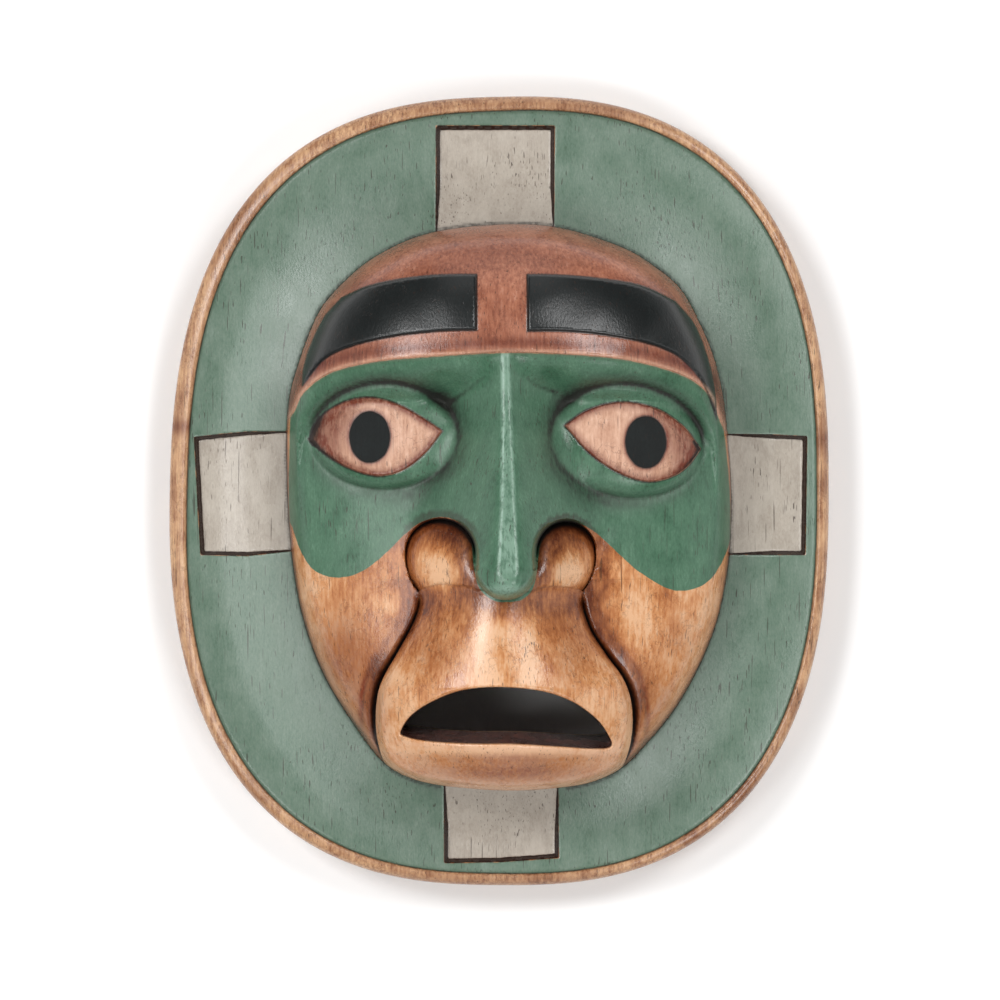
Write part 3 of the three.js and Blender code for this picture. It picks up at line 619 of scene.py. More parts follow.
def rim_loop(count, inset):
    """The outline in even steps of angle, drawn in square to itself"""
    angle = np.linspace(0, 2 * math.pi, count, endpoint=False)
    radius = outline_radius(angle)
    slope = (outline_radius(angle + 0.01) - outline_radius(angle - 0.01)) / 0.02
    square = angle - np.arctan2(slope, radius)
    inset = np.asarray(inset(angle) if callable(inset) else inset)
    return np.column_stack([
        radius * np.cos(angle) - inset * np.cos(square), radius * np.sin(angle) - inset * np.sin(square)])


MOUTH_FRONT = evenly(MOUTH, True, MOUTH_STEP)[0]


def oval(cx, cy, half_wide, half_high, turn):
    """Points of an ellipse at the given angles"""
    return np.column_stack([cx + half_wide * np.cos(turn), cy + half_high * np.sin(turn)])


def clear_of_rim(x, y, margin):
    """Whether each point lies further in from the outline than the margin"""
    return outline_radius(np.arctan2(y, x)) - np.hypot(x, y) > margin


def front_sheet():
    """Points of the front: rows along every carved line, then grids between them"""
    free = lambda x, y: inside(x, y, MOUTH_FRONT) < -0.05
    on_plate = lambda x, y: FACE.inside(x, y) < -0.3
    on_face = lambda x, y: (FACE.inside(x, y) > 0.3) & free(x, y)
    sheet = Sheet()
    sheet.add(rim_loop(RIM_STEPS, 0))
    sheet.add(MOUTH_FRONT)
    for inset in (0.15, 0.5, 1.1, 1.8, 2.6):
        sheet.add(rim_loop(RIM_STEPS, inset))
    for beyond in (0, 0.7, 1.4):
        sheet.add(rim_loop(RIM_STEPS, lambda angle: lobes(angle, BAND_LOBES) + beyond), 0.3)

    def off_groove(x, y):
        """Outside the mouth, and not in the cut of a groove"""
        away = np.min([np.abs(beside(x, y, line)) for line in GROOVES], axis=0)
        return free(x, y) & ~((y < GROOVE_TOP) & (away < 0.6))

    for depth in (-0.05, 0.02):
        sheet.add(FACE.loop(FACE_STEPS, depth), 0, free)
    for depth in 10 * np.linspace(0, 1, 13)[1:] ** 2:
        sheet.add(FACE.loop(FACE_STEPS, depth), 0, off_groove)
    lines = Sheet()
    lines.taken = sheet.taken
    for offsets in ((-0.15, -0.4, -0.8), (-1.3, -2)):
        lines.add(rows(MOUTH_FRONT, True, MOUTH_STEP, offsets), 0.1, on_face)
    for eye in EYES:
        lines.add(rows(eye["opening"], True, 0.7, (0, 0.4, 0.8)), 0.25)
        cx, cy, wide, high = eye["pupil"]
        turn = np.linspace(0, 2 * math.pi, 90, endpoint=False)
        for size in (1, 0.95, 1.05):
            lines.add(oval(cx, cy, size * wide, size * high, turn), 0.25)
        cx, cy, long, tall = eye["orb"]
        c, s = math.cos(eye["tilt"]), math.sin(eye["tilt"])
        around = oval(0, 0, long, tall, turn) @ np.array([(c, s), (-s, c)]) + (cx, cy)
        lines.add(rows(around, True, 0.8, (0, 0.8)), 0.4, on_face)
    for brow in BROWS:
        lines.add(rows(brow, True, 0.8, (0, 0.45, 0.9)), 0.3, on_face)
    lines.add(rows(RIDGE, False, 0.8, (0, -0.4, -0.9, -1.7)), 0.3, on_face)
    for panel in PANELS:
        lines.add(rows(panel, True, 0.9, (0, PANEL_DEPTH / PANEL_WALL_SLOPE)), 0.4, on_plate)
    lines.add(rows(NOSE_BASE, False, 0.7, (0.2, -0.2)), 0.2, on_face)
    for groove in GROOVES:
        lines.add(rows(groove, False, 0.8, (0.13, -0.13, 0.7, -0.7, 1.5, -1.5)), 0.35, on_face)
    lines.add(rows(GREEN_BORDER, False, 0.7, (0,)), 0.35, on_face)
    turn = np.linspace(0, 2 * math.pi, 110, endpoint=False)
    for cx, cy, wide, high in WINGS:
        for size in (0.94, 0.98, 1, 1.03, 1.07, 1.12):
            along, up = size * wide * np.cos(turn), size * high * np.sin(turn)
            up = up * np.where(up > 0, 1, np.where(along * cx < 0, 4, 1.4))
            ring = np.column_stack([cx + along, cy + up])
            lines.add(ring, 0.2, lambda x, y: y > np.interp(x, *NOSE_BASE.T) + 0.2)
    for radius in NOSE_TIP_RADIUS + np.array([0.1, -0.1, -0.5, -1.2, -2.2]):
        across = NOSE_TIP[0] + radius * np.cos(turn)
        lines.add(np.column_stack([across, NOSE_TIP[1] - radius * np.abs(np.sin(turn))]), 0.1)
    for side in (-1, 1):
        for beyond in (0, 0.5, 1.1, 1.9):
            across = NOSE_RIDGE[:, 2] + side * (NOSE_RIDGE[:, 3] + beyond)
            lines.add(rows(np.column_stack([across, -NOSE_RIDGE[:, 0]]), False, 0.8, (0,)), 0.3)
    fine = grid(LINE_GRID[0])
    fine = fine[lines.near(fine, LINE_REACH)]
    room = lambda x, y: free(x, y) & clear_of_rim(x, y, 3)
    sheet.add(fine, LINE_GRID[1], room)
    sheet.add(grid(FRONT_GRID[0]), FRONT_GRID[1], room)
    return np.vstack([sheet.points, lines.points])


def back_sheet(mouth_back):
    """Points of the back: its edge, rows down the side of the hollow, then a coarse grid"""
    free = lambda x, y: inside(x, y, mouth_back) < -0.5
    sheet = Sheet()
    sheet.add(rim_loop(RIM_STEPS, BACK_CHAMFER))
    sheet.add(mouth_back)
    for inset in HOLLOW_EDGE_RADIUS * np.linspace(0, 1, 11) ** 2:
        sheet.add(FACE.loop(HOLLOW_STEPS, FACE_WALL + inset), 0, free)
    room = lambda x, y: free(x, y) & clear_of_rim(x, y, 5)
    sheet.add(grid(BACK_GRID[0]), BACK_GRID[1], room)
    return sheet.points


def blurred(heights, width):
    """A grid of heights smoothed by a bell curve, through its Fourier transform"""
    down = np.fft.fftfreq(heights.shape[0])[:, None]
    across = np.fft.rfftfreq(heights.shape[1])[None, :]
    weight = np.exp(-2 * (math.pi * width) ** 2 * (down ** 2 + across ** 2))
    return np.fft.irfft2(np.fft.rfft2(heights) * weight, heights.shape)


class Hollows:
    """How far the surface lies under its own blurred copy"""
    STEP = 0.5

    def __init__(self):
        self.across, self.up = np.arange(-150, 150, self.STEP), np.arange(-180, 180, self.STEP)
        x, y = (axis.ravel() for axis in np.meshgrid(self.across, self.up))
        shape = (len(self.up), len(self.across))
        self.heights = front(x, y, distances(x, y)).reshape(shape)

    def depth(self, x, y, z, width):
        """Depth under a copy blurred by the width in mm, read between the points of the grid"""
        smooth = blurred(self.heights, width / self.STEP)
        column, row = (x - self.across[0]) / self.STEP, (y - self.up[0]) / self.STEP
        i, j = row.astype(int), column.astype(int)
        v, u = row - i, column - j
        low = smooth[i, j] * (1 - u) + smooth[i, j + 1] * u
        high = smooth[i + 1, j] * (1 - u) + smooth[i + 1, j + 1] * u
        return low * (1 - v) + high * v - z


def paint_zones(x, y, z, d, hollows):
    """What the finish follows: distance in mm into each painted part, dark wash with painted shade, stain
    with painted shade, paler raised parts and painted highlights, and wear with painted highlights
    """
    wall = panel_depth(d) / PANEL_WALL_SLOPE
    # Distance from the foot of the face, up its steep side instead of across
    foot = np.where(d.face > 0, np.hypot(d.face, z - RING_AT_FACE), d.face)
    on_ring = np.minimum.reduce([d.band - 0.9, -foot, -d.panel])
    bare_edge = 1.8 * soft(y, -25, 35)
    under_ridge = -0.5 - d.ridge
    on_face = np.minimum.reduce([d.face - bare_edge, inside(x, y, GREEN_AREA), under_ridge, -d.eye])
    zones = dict(green=np.maximum(on_ring, on_face), black=np.maximum(d.brow, d.pupil))
    zones.update(grey=np.minimum(d.panel - wall, -foot), cut=np.minimum(d.panel, -foot))
    zones.update(forehead=np.minimum(d.face, d.ridge + 0.5), rim=0.9 - d.band)
    zones.update(eye=d.eye, mouth=d.mouth, face=foot)
    groove = np.where((y < -36) & (d.face > 0), d.groove, PLAIN_WOOD["groove"])
    over_groove = np.maximum(0, z - np.minimum(head(x, y, d)[1], muzzle(x, y, d)[0]) + GROOVE_DEPTH)
    zones["groove"] = np.where(groove < 0, -1, 1) * np.hypot(groove, 0.25 * over_groove)
    wing = np.min([out for out, _ in d.wings], axis=0)
    fine, broad, wide = (hollows.depth(x, y, z, width) for width in (1, 4, 9))
    # Dark wash, partly painted shade
    zones["wash_and_shade"] = wash_and_shade_at(x, y, d, foot, groove, wing, fine, broad)
    zones["stain_and_shade"] = stain_and_shade_at(x, y, d, groove, wing)
    # Raised parts paler and hollows darker, as painted light and shade, with the painted highlight spots
    # added
    zones["raised"] = spotted(soft(-wide, -4, 4), x, y, HIGHLIGHT_SPOTS)

    # Paler edges: rubbed paint and painted highlight on the edge under the forehead and on the top of the
    # lower lip, and painted sheen along the lower edges of the cheeks
    ridge_edge = bell(d.ridge, 0.3, 0.8) * (d.face > 1)
    cheek_edge_sheen = 0.8 * bell(d.face, 2.4, 1.5) * soft(-y, 25, 45)
    lip_edge = (y < -101) * soft(-y, 101, 103) * bell(d.mouth, -1.6, 1.6)
    zones["wear_and_highlight"] = np.maximum.reduce([ridge_edge, cheek_edge_sheen, lip_edge])
    zones["crest_highlight"] = crest_highlight_at(x, y)
    return zones


def wash_and_shade_at(x, y, d, foot, groove, wing, fine, broad):
    """How much dark wash lies in the cuts, round face and eyes, and in the brushed lines, together with
    painted shade: in the hollows, on the steep sides of the face, over the wings, in the folds round the orbs
    and in the outer corners of the eyes
    """
    # Dark wash with painted shade in hollows under the blurred surface, and broader painted shade in the
    # sockets
    wash_and_shade = 0.6 * soft(fine, 0.15, 1.8) + 0.35 * soft(broad, 0.8, 5) * (d.face > 0)
    wash_and_shade = wash_and_shade * np.where(d.face > 0, soft(d.face, 0.6, 3), soft(-d.face, 0.3, 1.5))
    # A dark line at the foot of the face, and painted shade on its steep sides
    wash_and_shade = wash_and_shade + 0.55 * np.exp(-np.abs(foot) / 1.2) + 0.35 * np.exp(-foot / 5) * (d.face > 0)
    wash_and_shade = wash_and_shade * np.where(wing < 1.4, 0.1 + 0.75 * soft(y, -30, -14), 1)
    wash_and_shade = wash_and_shade * (1 - 0.7 * bell(d.ridge, -1, 5))
    # Painted shade in the crescent of the cut over each wing
    for cx, cy, half_wide, half_high in WINGS:
        up_and_in = 0.87 * (y - cy) / half_high - 0.5 * np.sign(cx) * (x - cx) / half_wide
        crescent_shade = soft(up_and_in, 0.35, 0.95) * bell(wing, 0.95, 0.1)
        wash_and_shade = wash_and_shade + 0.6 * crescent_shade * (np.abs(x - cx) < 20)
    # Painted shade in the folds round each orb
    for out, beyond, deep, under in d.folds:
        near = 0.34 * bell(beyond, 0.3, 1.1) + 0.3 * bell(beyond, 1.5, 5)
        low = 0.16 * bell(beyond, 2.5, 3) + 0.12 * bell(beyond, 5, 7)
        wash_and_shade = wash_and_shade + (deep * near + under * low) * (out > 0.75) * (d.ridge < -1) * (d.face > 3)
    for line in BRIDGE_LINES:
        along = ramp(x, line[0, 0], line[0, 0] + 4) * ramp(-x, -line[-1, 0], 4 - line[-1, 0])
        wash_and_shade = wash_and_shade + 0.5 * along * bell(above(x, y, line), 0, 0.8)
    # Painted shade in smudges beside the nose
    wash_and_shade = np.where(d.eye < 0, spotted(wash_and_shade, x, y, SHADE_SMUDGES), wash_and_shade)
    wash_and_shade = wash_and_shade + 0.3 * bell(d.nose_base, 0, 0.5) * (wing < 1.2)
    second_crease = bell(groove, -5.5, 0.5) * (groove < 0)
    wash_and_shade = wash_and_shade + 0.5 * second_crease * soft(-y, 68, 84) * soft(d.face, 2, 5)
    # Painted shade in the outer corners of the eyes and under their lower lids
    low_lid = (d.eye > 0) * (y < 21) * (1 - soft(d.eye, 0, 2.4))
    outer = outer_share(x, y)
    return wash_and_shade + (d.eye > 0) * soft(outer, 0.82, 1.05) + 0.8 * low_lid * soft(outer, 0.3, 0.8)


def stain_and_shade_at(x, y, d, groove, wing):
    """How dark the stain is: round the eyeballs, over the wings, beside grooves and in single spots. Round
    the eyeballs and over the wings it is painted shade
    """
    # Painted shade round the eyeballs under the lids, deeper on the left eye and towards the outer corners
    lid_shade = np.where(x < 0, 1.3, 1) * (1 - soft(d.eye, 0.3, 4))
    stain_and_shade = (1.1 * soft(outer_share(x, y), 0.3, 0.85) + lid_shade) * (d.eye > 0)
    # Painted shade over the tops of the wings, under the cut of the cheek
    stain_and_shade = stain_and_shade + 0.7 * (wing < 1.25) * soft(y, -24, -12)
    beside_groove = 0.45 * np.exp(-np.abs(groove) / 3) + 0.5 * bell(groove, -6.5, 0.9)
    stain_and_shade = stain_and_shade + beside_groove * (groove < 0) + 0.4 * np.exp(-np.abs(d.brow) / 1.5)
    stain_and_shade = stain_and_shade + 0.9 * bell(d.pupil, 0, 1.2) + 0.8 * bell(d.ridge, 3.8, 2.5)
    return np.clip(spotted(stain_and_shade, x, y, STAINS), 0, 1) * ((d.face > 0) | (d.band < 0.9))


def crest_highlight_at(x, y):
    """How pale the top of the nose is, partly rubbed paint and partly painted highlight: its edges, the left
    one brighter, the flat between, and a painted highlight on the tip
    """
    middle, half_wide = (np.interp(-y, NOSE_RIDGE[:, 0], NOSE_RIDGE[:, k]) for k in (2, 3))
    beyond = np.abs(x - middle) - half_wide - 0.6
    edge = np.where(x < middle, 1, 0.7) * bell(beyond, 0, 0.8)
    flat = (0.35 + 0.25 * soft(-y, 0, 30)) * (beyond < 0)
    edge = np.maximum(edge, flat) * soft(y, -37, -30) * (y < NOSE_TOP - 1)
    return edge + 0.7 * bump(x - NOSE_TIP[0], y + 39, 8, 2.5)


def outer_share(x, y):
    """Share of the way from the middle of the nearer eye to its outer corner"""
    return np.where(x < 0, EYES[0]["orb"][0] - x, x - EYES[1]["orb"][0]) / 31 + 0.01 * (y - 21)


# Finish values of plain wood, far from every painted part
PLAIN_WOOD = dict(green=-20, black=-20, grey=-20, cut=-20, forehead=-20, eye=-20, rim=10, face=-20, groove=20,
                  wash_and_shade=0, stain_and_shade=0, raised=0.5, wear_and_highlight=0, mouth=-20, crest_highlight=0)


class Skin:
    """Vertices, triangles and finish values of one closed mesh, gathered sheet by sheet"""

    def __init__(self):
        self.vertices, self.faces, self.values = [], [], {name: [] for name in PLAIN_WOOD}
        self.count = 0

    def place(self, points, heights, **zones):
        """Adds points at their heights and returns the numbers of their vertices"""
        self.vertices.append(np.column_stack([points, np.broadcast_to(heights, len(points))]))
        for name, plain in PLAIN_WOOD.items():
            self.values[name].append(np.broadcast_to(np.asarray(zones.get(name, plain), float), len(points)))
        self.count += len(points)
        return np.arange(self.count - len(points), self.count)

    def wall(self, upper, lower):
        """Two triangles between each pair of steps of two loops that have as many points"""
        a, b, c, d = upper, lower, np.roll(lower, -1), np.roll(upper, -1)
        self.faces += [np.column_stack([a, b, c]), np.column_stack([a, c, d])]

    def make(self, name, material):
        mesh = bpy.data.meshes.new(name)
        vertices = np.clip(np.vstack(self.vertices) / 1000, cad_low, cad_high)
        mesh.from_pydata(vertices.tolist(), [], np.vstack(self.faces).tolist())
        for zone, values in self.values.items():
            layer = mesh.attributes.new(zone, "FLOAT", "POINT")
            layer.data.foreach_set("value", np.concatenate(values).astype(np.float32))
        mesh.shade_smooth()
        mesh.set_sharp_from_angle(angle=math.radians(SHARP_ANGLE))
        mesh.materials.append(material)
        piece = bpy.data.objects.new(name, mesh)
        bpy.context.collection.objects.link(piece)
        return piece


def carve_mask(material):
    """Closed skin: front, side of the rim, back, and the walls of the mouth between them"""
    skin = Skin()
    hollows = Hollows()
    points = front_sheet()
    x, y = points.T
    d = distances(x, y)
    z = front(x, y, d)
    zones = paint_zones(x, y, z, d, hollows)
    front_index = skin.place(points, z, **zones)
    skin.faces.append(front_index[triangles(points, MOUTH_FRONT)])

    lift = MOUTH_LEDGE * ramp(MOUTH_MIDDLE[1] - MOUTH_FRONT[:, 1], 0, 5)
    mouth_back = np.column_stack([
        MOUTH_MIDDLE[0] + 0.97 * (MOUTH_FRONT[:, 0] - MOUTH_MIDDLE[0]), MOUTH_FRONT[:, 1] + lift])
    points = back_sheet(mouth_back)
    heights = back(*points.T)
    # The inside of the hollow is darkened: dark wash, and painted shade
    back_index = skin.place(points, heights, wash_and_shade=0.65 * (heights > 2))
    skin.faces.append(back_index[triangles(points, mouth_back)[:, ::-1]])

    # Side of the rim, from the front edge to the chamfer round the back
    edge = rim_loop(RIM_STEPS, 0)
    upper = front_index[:RIM_STEPS]
    top = skin.vertices[0][:RIM_STEPS, 2]
    for share in np.linspace(0, 1, 6)[1:]:
        lower = skin.place(edge, top + (BACK_CHAMFER - top) * share)
        skin.wall(upper, lower)
        upper = lower
    skin.wall(upper, back_index[:RIM_STEPS])

    # Walls of the mouth, from the lip to the hollow
    steps = len(MOUTH_FRONT)
    upper = front_index[RIM_STEPS:RIM_STEPS + steps]
    top = skin.vertices[0][RIM_STEPS:RIM_STEPS + steps, 2]
    bottom = heights[RIM_STEPS:RIM_STEPS + steps]
    for share in np.linspace(0, 1, 12)[1:-1]:
        ring = MOUTH_FRONT + (mouth_back - MOUTH_FRONT) * share
        height = top + (bottom - top) * share
        lower = skin.place(ring, height, mouth=top - height)
        skin.wall(upper, lower)
        upper = lower
    skin.wall(upper, back_index[RIM_STEPS:RIM_STEPS + steps])
    return skin.make("moon_mask_carving", material)


def linear(colour):
    """An sRGB hex colour as linear red, green, blue and one"""
    channels = [int(colour[k:k + 2], 16) / 255 for k in (1, 3, 5)]
    return [c / 12.92 if c <= 0.04045 else ((c + 0.055) / 1.055) ** 2.4 for c in channels] + [1]


def add(tree, kind, inputs=None, **settings):
    """Adds a node with its settings, and sets or links its inputs, and returns its outputs"""
    made = tree.nodes.new(kind)
    for name, value in settings.items():
        setattr(made, name, value)
    for name, value in (inputs or {}).items():
        if isinstance(value, bpy.types.NodeSocket):
            tree.links.new(value, made.inputs[name])
        else:
            made.inputs[name].default_value = value
    return made.outputs


def pattern(tree, wide, long, detail=2, seed=0):
    """Noise whose spots are about so many mm wide and long, along the grain of the wood"""
    place = add(tree, "ShaderNodeTexCoord")["Object"]
    scale = (1000 / wide, 1000 / long, 1000 / wide)
    place = add(tree, "ShaderNodeMapping", {"Vector": place, "Scale": scale, "Location": (seed, seed, seed)})
    return add(tree, "ShaderNodeTexNoise", {"Vector": place["Vector"], "Scale": 1, "Detail": detail})["Fac"]


def between(tree, value, start, end, low=0, high=1):
    """Carries a value from one range to another and stops at its ends"""
    return add(tree, "ShaderNodeMapRange", {"Value": value, "From Min": start, "From Max": end, "To Min": low,
                                            "To Max": high}, interpolation_type="SMOOTHSTEP")["Result"]


def toned(tree, value, tones):
    """Colour by value: evenly spaced stops from the first tone to the last"""
    outputs = add(tree, "ShaderNodeValToRGB", {"Fac": value})
    stops = outputs["Color"].node.color_ramp.elements
    while len(stops) < len(tones):
        stops.new(0.5)
    for n, (stop, tone) in enumerate(zip(stops, tones)):
        stop.position = n / (len(tones) - 1)
        stop.color = linear(tone)
    return outputs["Color"]


def painted_wood():
    """Carved light wood, painted in three colours, oiled and rubbed with a dark wash.
    Sanded smooth, so it has a satin gloss; the wash stays dark in every cut and in the pores,
    and the paint is thin enough for the grain to show. Painted shade darkens the hollows, folds and steep
    sides, and painted highlights and sheen pale the edges, the nose, the muzzle, the wings and the ring's
    green."""
    material = bpy.data.materials.new("painted_carving_wood")
    material.use_nodes = True
    tree = material.node_tree
    shader = tree.nodes["Principled BSDF"]

    zone = {name: add(tree, "ShaderNodeAttribute", attribute_name=name)["Fac"] for name in PLAIN_WOOD}
    wobble = between(tree, pattern(tree, 3, 6, 1), 0.3, 0.7, -0.08, 0.08)

    def within(name, blur=0.15):
        """One inside a painted part and nothing outside, with a slightly uneven edge"""
        uneven = add(tree, "ShaderNodeMath", {0: zone[name], 1: wobble}, operation="ADD")["Value"]
        return between(tree, uneven, -blur, blur)

    def over(under, colour, share, blend="MIX"):
        inputs = {"Fac": share, "Color1": under, "Color2": colour}
        return add(tree, "ShaderNodeMixRGB", inputs, blend_type=blend)["Color"]

    def times(a, b):
        return add(tree, "ShaderNodeMath", {0: a, 1: b}, operation="MULTIPLY", use_clamp=True)["Value"]

    def mixed(*parts):
        """One half, plus each value's own distance from one half times its share"""
        total = 0.5 - sum(share for _, share in parts) / 2
        for value, share in parts:
            inputs = {0: value, 1: share, 2: total}
            total = add(tree, "ShaderNodeMath", inputs, operation="MULTIPLY_ADD")["Value"]
        return total

    # Grain runs along Y: mottled stain, narrow streaks, short open pores and a fine tooth in the paint
    mottle = pattern(tree, 8, 12, 5)
    streak = pattern(tree, 1.1, 22, 2, 5)
    tooth = pattern(tree, 0.7, 1.6, 2, 8)
    clustered = between(tree, pattern(tree, 14, 25, 1, 4), 0.45, 0.65)
    pores = times(between(tree, pattern(tree, 0.45, 5, 0, 9), 0.73, 0.77), clustered)
    hairs = between(tree, pattern(tree, 0.7, 24, 0, 2), 0.76, 0.8)
    specks = between(tree, pattern(tree, 0.8, 1.2, 1, 3), 0.62, 0.75)
    level = {0: pattern(tree, 2.6, 4, 4, 11), 1: 0.5, 2: 0.02}
    crossing = add(tree, "ShaderNodeMath", level, operation="COMPARE")["Value"]
    veins = times(crossing, between(tree, pattern(tree, 9, 14, 1, 6), 0.4, 0.6))

    strokes = pattern(tree, 1.5, 4.5, 4, 15)
    # Bare wood is paler on raised parts and darker in hollows as painted light and shade, and paler at the
    # painted highlights
    stained = mixed((zone["raised"], 0.7), (mottle, 1), (strokes, 0.6), (streak, 0.6), (tooth, 0.35))
    colour = toned(tree, stained, ["#5f2c14", "#874c28", "#aa6a3c", "#c58a5a", "#d6a881"])
    rubbed = mixed((mottle, 0.9), (strokes, 0.5), (streak, 1), (tooth, 0.4))
    for part, tones in (
            ("rim", ["#6b412b", "#9c7153", "#be946f", "#d2ad86"]),
            ("forehead", ["#68382a", "#8e5641", "#aa6f55", "#bd8a75"]),
            ("eye", ["#94644c", "#ba8c72", "#cea38a", "#dcbaa4"])):
        colour = over(colour, toned(tree, rubbed, tones), within(part))
    colour = over(colour, linear("#4a2412"), times(veins, 0.3))
    painted = mixed((mottle, 1), (strokes, 0.5), (streak, 0.4), (tooth, 0.8))
    # The ring's green is paler and greyer than the face's: partly a grey film, partly painted sheen
    ring_green = toned(tree, painted, ["#455d4c", "#586f5f", "#637768", "#718376"])
    face_green = toned(tree, painted, ["#27432f", "#3a5f48", "#476c54", "#5a7e66"])
    colour = over(colour, over(ring_green, face_green, within("face")), within("green"))
    # Paler green on the top of the nose: rubbed paint and painted highlight
    colour = over(colour, linear("#a5c2b1"), times(zone["crest_highlight"], between(tree, rubbed, 0.3, 0.6, 0.2, 0.6)))
    blotched = between(tree, mixed((mottle, 0.8), (strokes, 0.8), (tooth, 0.4)), 0.3, 0.65, 0.6, 1)
    # Stain, with painted shade round the eyeballs and over the wings
    colour = over(colour, linear("#8a4a2c"), times(zone["stain_and_shade"], blotched), "MULTIPLY")
    colour = over(colour, linear("#24110b"), within("cut"))
    colour = over(colour, toned(tree, painted, ["#968c81", "#aaa195", "#b7afa3"]), within("grey"))
    colour = over(colour, toned(tree, painted, ["#060a0a", "#0b1010", "#121818"]), within("black"))

    # Edges are paler, partly rubbed and partly painted highlight and sheen; dark wash with painted shade
    # fills the cuts and the lines of the carving, and wash fills the pores
    colour = over(colour, linear("#dcb397"), times(zone["wear_and_highlight"], 0.4))
    wash_and_shade_colour = linear("#120b08")
    brushed = mixed((pattern(tree, 1.4, 3.5, 3, 7), 0.6), (mottle, 0.6))
    patchy = between(tree, brushed, 0.3, 0.7, 0.6, 1)
    # The wash with its painted shade, broken into patches
    uneven = add(tree, "ShaderNodeMath", {0: zone["wash_and_shade"], 1: between(tree, brushed, 0.3, 0.7, 0.7, 1.15)},
                 operation="MULTIPLY")["Value"]
    colour = over(colour, wash_and_shade_colour, between(tree, uneven, 0.02, 0.9, 0, 0.95))
    for name, half_wide in (("rim", 0.3), ("face", 0.4), ("black", 0.35), ("eye", 0.45), ("groove", 0.7)):
        away = add(tree, "ShaderNodeMath", {0: zone[name]}, operation="ABSOLUTE")["Value"]
        line = between(tree, away, half_wide / 2, half_wide * 1.6, 0.8, 0)
        colour = over(colour, wash_and_shade_colour, times(line, patchy))
    for marks, strength in ((pores, 0.75), (hairs, 0.6), (specks, 0.08)):
        colour = over(colour, linear("#2a1a11"), times(marks, strength))
    # Inside the mouth: a dark reddish ledge under the lip, and deeper in near-black painted shade
    ledge = toned(tree, rubbed, ["#1c100c", "#4a2a22", "#8a5648"])
    colour = over(colour, ledge, between(tree, zone["mouth"], 0.3, 1.5))
    colour = over(colour, linear("#060505"), between(tree, zone["mouth"], 22, 38))
    tree.links.new(colour, shader.inputs["Base Color"])

    # Oiled wood has the sharpest gloss, paint a satin one, and the wash with its painted shade and the
    # eyeballs are duller
    gloss = between(tree, mottle, 0.3, 0.7, 0.24, 0.32)
    for part, duller in ((within("green"), 0.06), (within("eye"), 0.2), (uneven, 0.3)):
        gloss = add(tree, "ShaderNodeMath", {0: part, 1: duller, 2: gloss}, operation="MULTIPLY_ADD")["Value"]
    black_gloss = between(tree, zone["eye"], -1, 1, 0.3, 0.95)
    tree.links.new(over(gloss, black_gloss, within("black")), shader.inputs["Roughness"])
    shader.inputs["IOR"].default_value = 1.5

    # Grain and tooth stand 0.05 mm proud and pores are cut 0.15 mm deep
    relief = add(tree, "ShaderNodeMath", {0: tooth, 1: pores}, operation="SUBTRACT")["Value"]
    raised = add(tree, "ShaderNodeBump", {"Height": relief, "Strength": 0.45, "Distance": 0.00015})["Normal"]
    tree.links.new(raised, shader.inputs["Normal"])
    return material


mask = carve_mask(painted_wood())
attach(mask, "root")
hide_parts("moon_mask")

# Plain pale floor
FLOOR_HALF = 3
FLOOR_LEVEL = -0.0003
floor_mesh = bpy.data.meshes.new("floor")
turns = [(-1, -1), (1, -1), (1, 1), (-1, 1)]
corners = [(x * FLOOR_HALF, y * FLOOR_HALF, FLOOR_LEVEL) for x, y in turns]
floor_mesh.from_pydata(corners, [], [(0, 1, 2, 3)])
floor = bpy.data.objects.new("floor", floor_mesh)
bpy.context.collection.objects.link(floor)
paper = bpy.data.materials.new("white_paper")
paper.use_nodes = True
surface = paper.node_tree.nodes["Principled BSDF"].inputs
surface["Base Color"].default_value = linear("#f4f4f4")
surface["Roughness"].default_value = 0.9
floor_mesh.materials.append(paper)


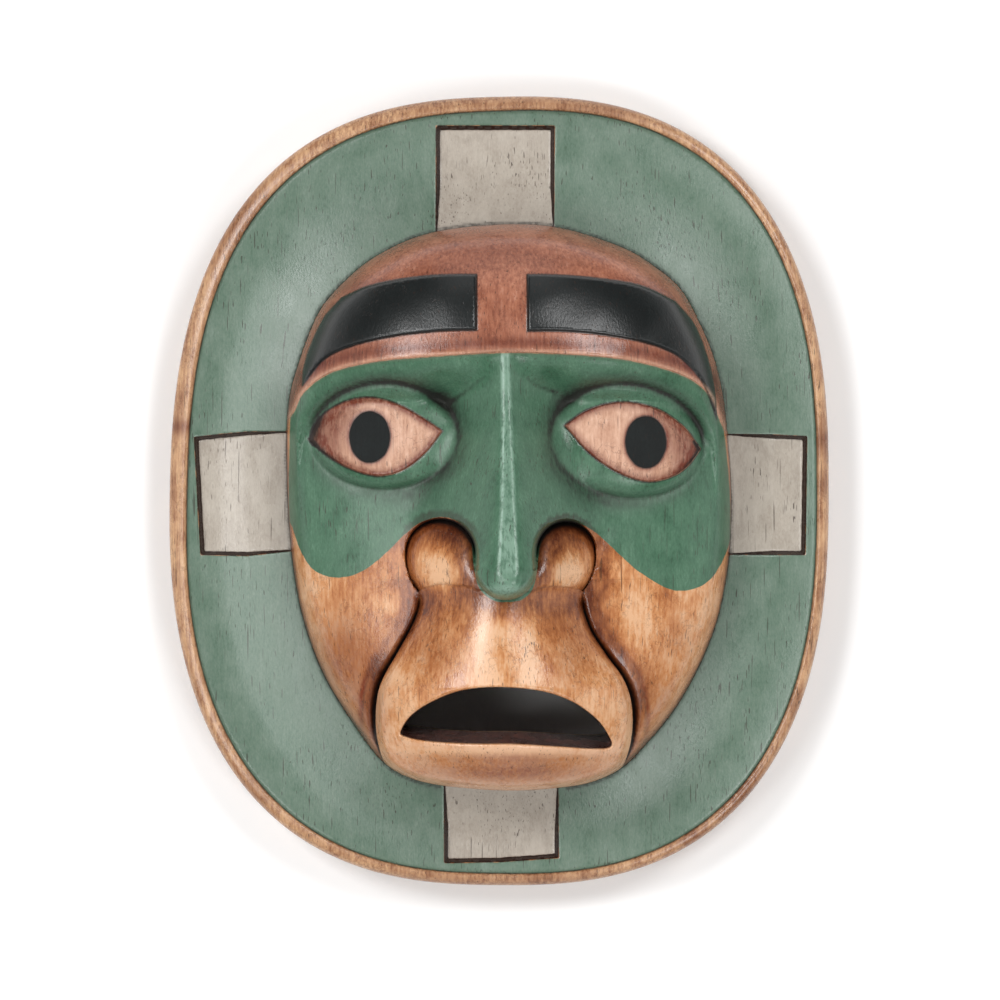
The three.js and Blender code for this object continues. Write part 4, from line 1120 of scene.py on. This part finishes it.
LIGHT_DISTANCE = 2


def softbox(name, turn, lean, size, power, only_gloss=False):
    """A soft light that looks at the mask, turned round it and leaned off the vertical"""
    turn, lean = math.radians(turn), math.radians(lean)
    aside = math.sin(lean)
    place = LIGHT_DISTANCE * Vector((aside * math.cos(turn), aside * math.sin(turn), math.cos(lean)))
    light = bpy.data.lights.new(name, "AREA")
    light.shape = "RECTANGLE"
    light.size, light.size_y = size
    light.energy = power
    lamp = bpy.data.objects.new(name, light)
    lamp.location = place
    lamp.rotation_euler = place.to_track_quat("Z", "Y").to_euler()
    lamp.visible_diffuse = not only_gloss
    bpy.context.collection.objects.link(lamp)


softbox("upper_left_softbox", 148, 36, (0.6, 0.6), 18)
softbox("lower_left_softbox", -154, 36, (0.6, 0.6), 9)
softbox("upper_right_softbox", 44, 36, (0.6, 0.6), 13)
softbox("lower_right_softbox", -50, 36, (0.6, 0.6), 12)
softbox("left_reflector", 190, 16, (0.8, 0.5), 8, only_gloss=True)
FILLS = [("right_fill", 0, 6), ("upper_fill", 90, 5), ("left_fill", 180, 4), ("lower_fill", -90, 5)]
for name, turn, power in FILLS:
    softbox(name, turn, 67, (1.3, 1.3), power)
world = bpy.data.worlds.new("studio")
world.use_nodes = True
sky = world.node_tree.nodes["Background"].inputs
sky["Color"].default_value = (1, 1, 1, 1)
sky["Strength"].default_value = 0.12
bpy.context.scene.world = world

# Camera straight over the mask, a set distance above the rim, where the frame has the given width
CAMERA_DISTANCE = 2.5
FRAME_WIDTH = 0.4161
SENSOR_WIDTH = 36
camera_data = bpy.data.cameras.new("camera")
camera_data.sensor_width = SENSOR_WIDTH
camera_data.lens = SENSOR_WIDTH * CAMERA_DISTANCE / FRAME_WIDTH
camera_data.shift_x = 0.001
camera_data.shift_y = -0.0085
camera = bpy.data.objects.new("camera", camera_data)
camera.location = (0, 0, CAMERA_DISTANCE + RIM_TOP / 1000)
bpy.context.collection.objects.link(camera)
bpy.context.scene.camera = camera
bpy.context.scene.view_settings.view_transform = "Standard"
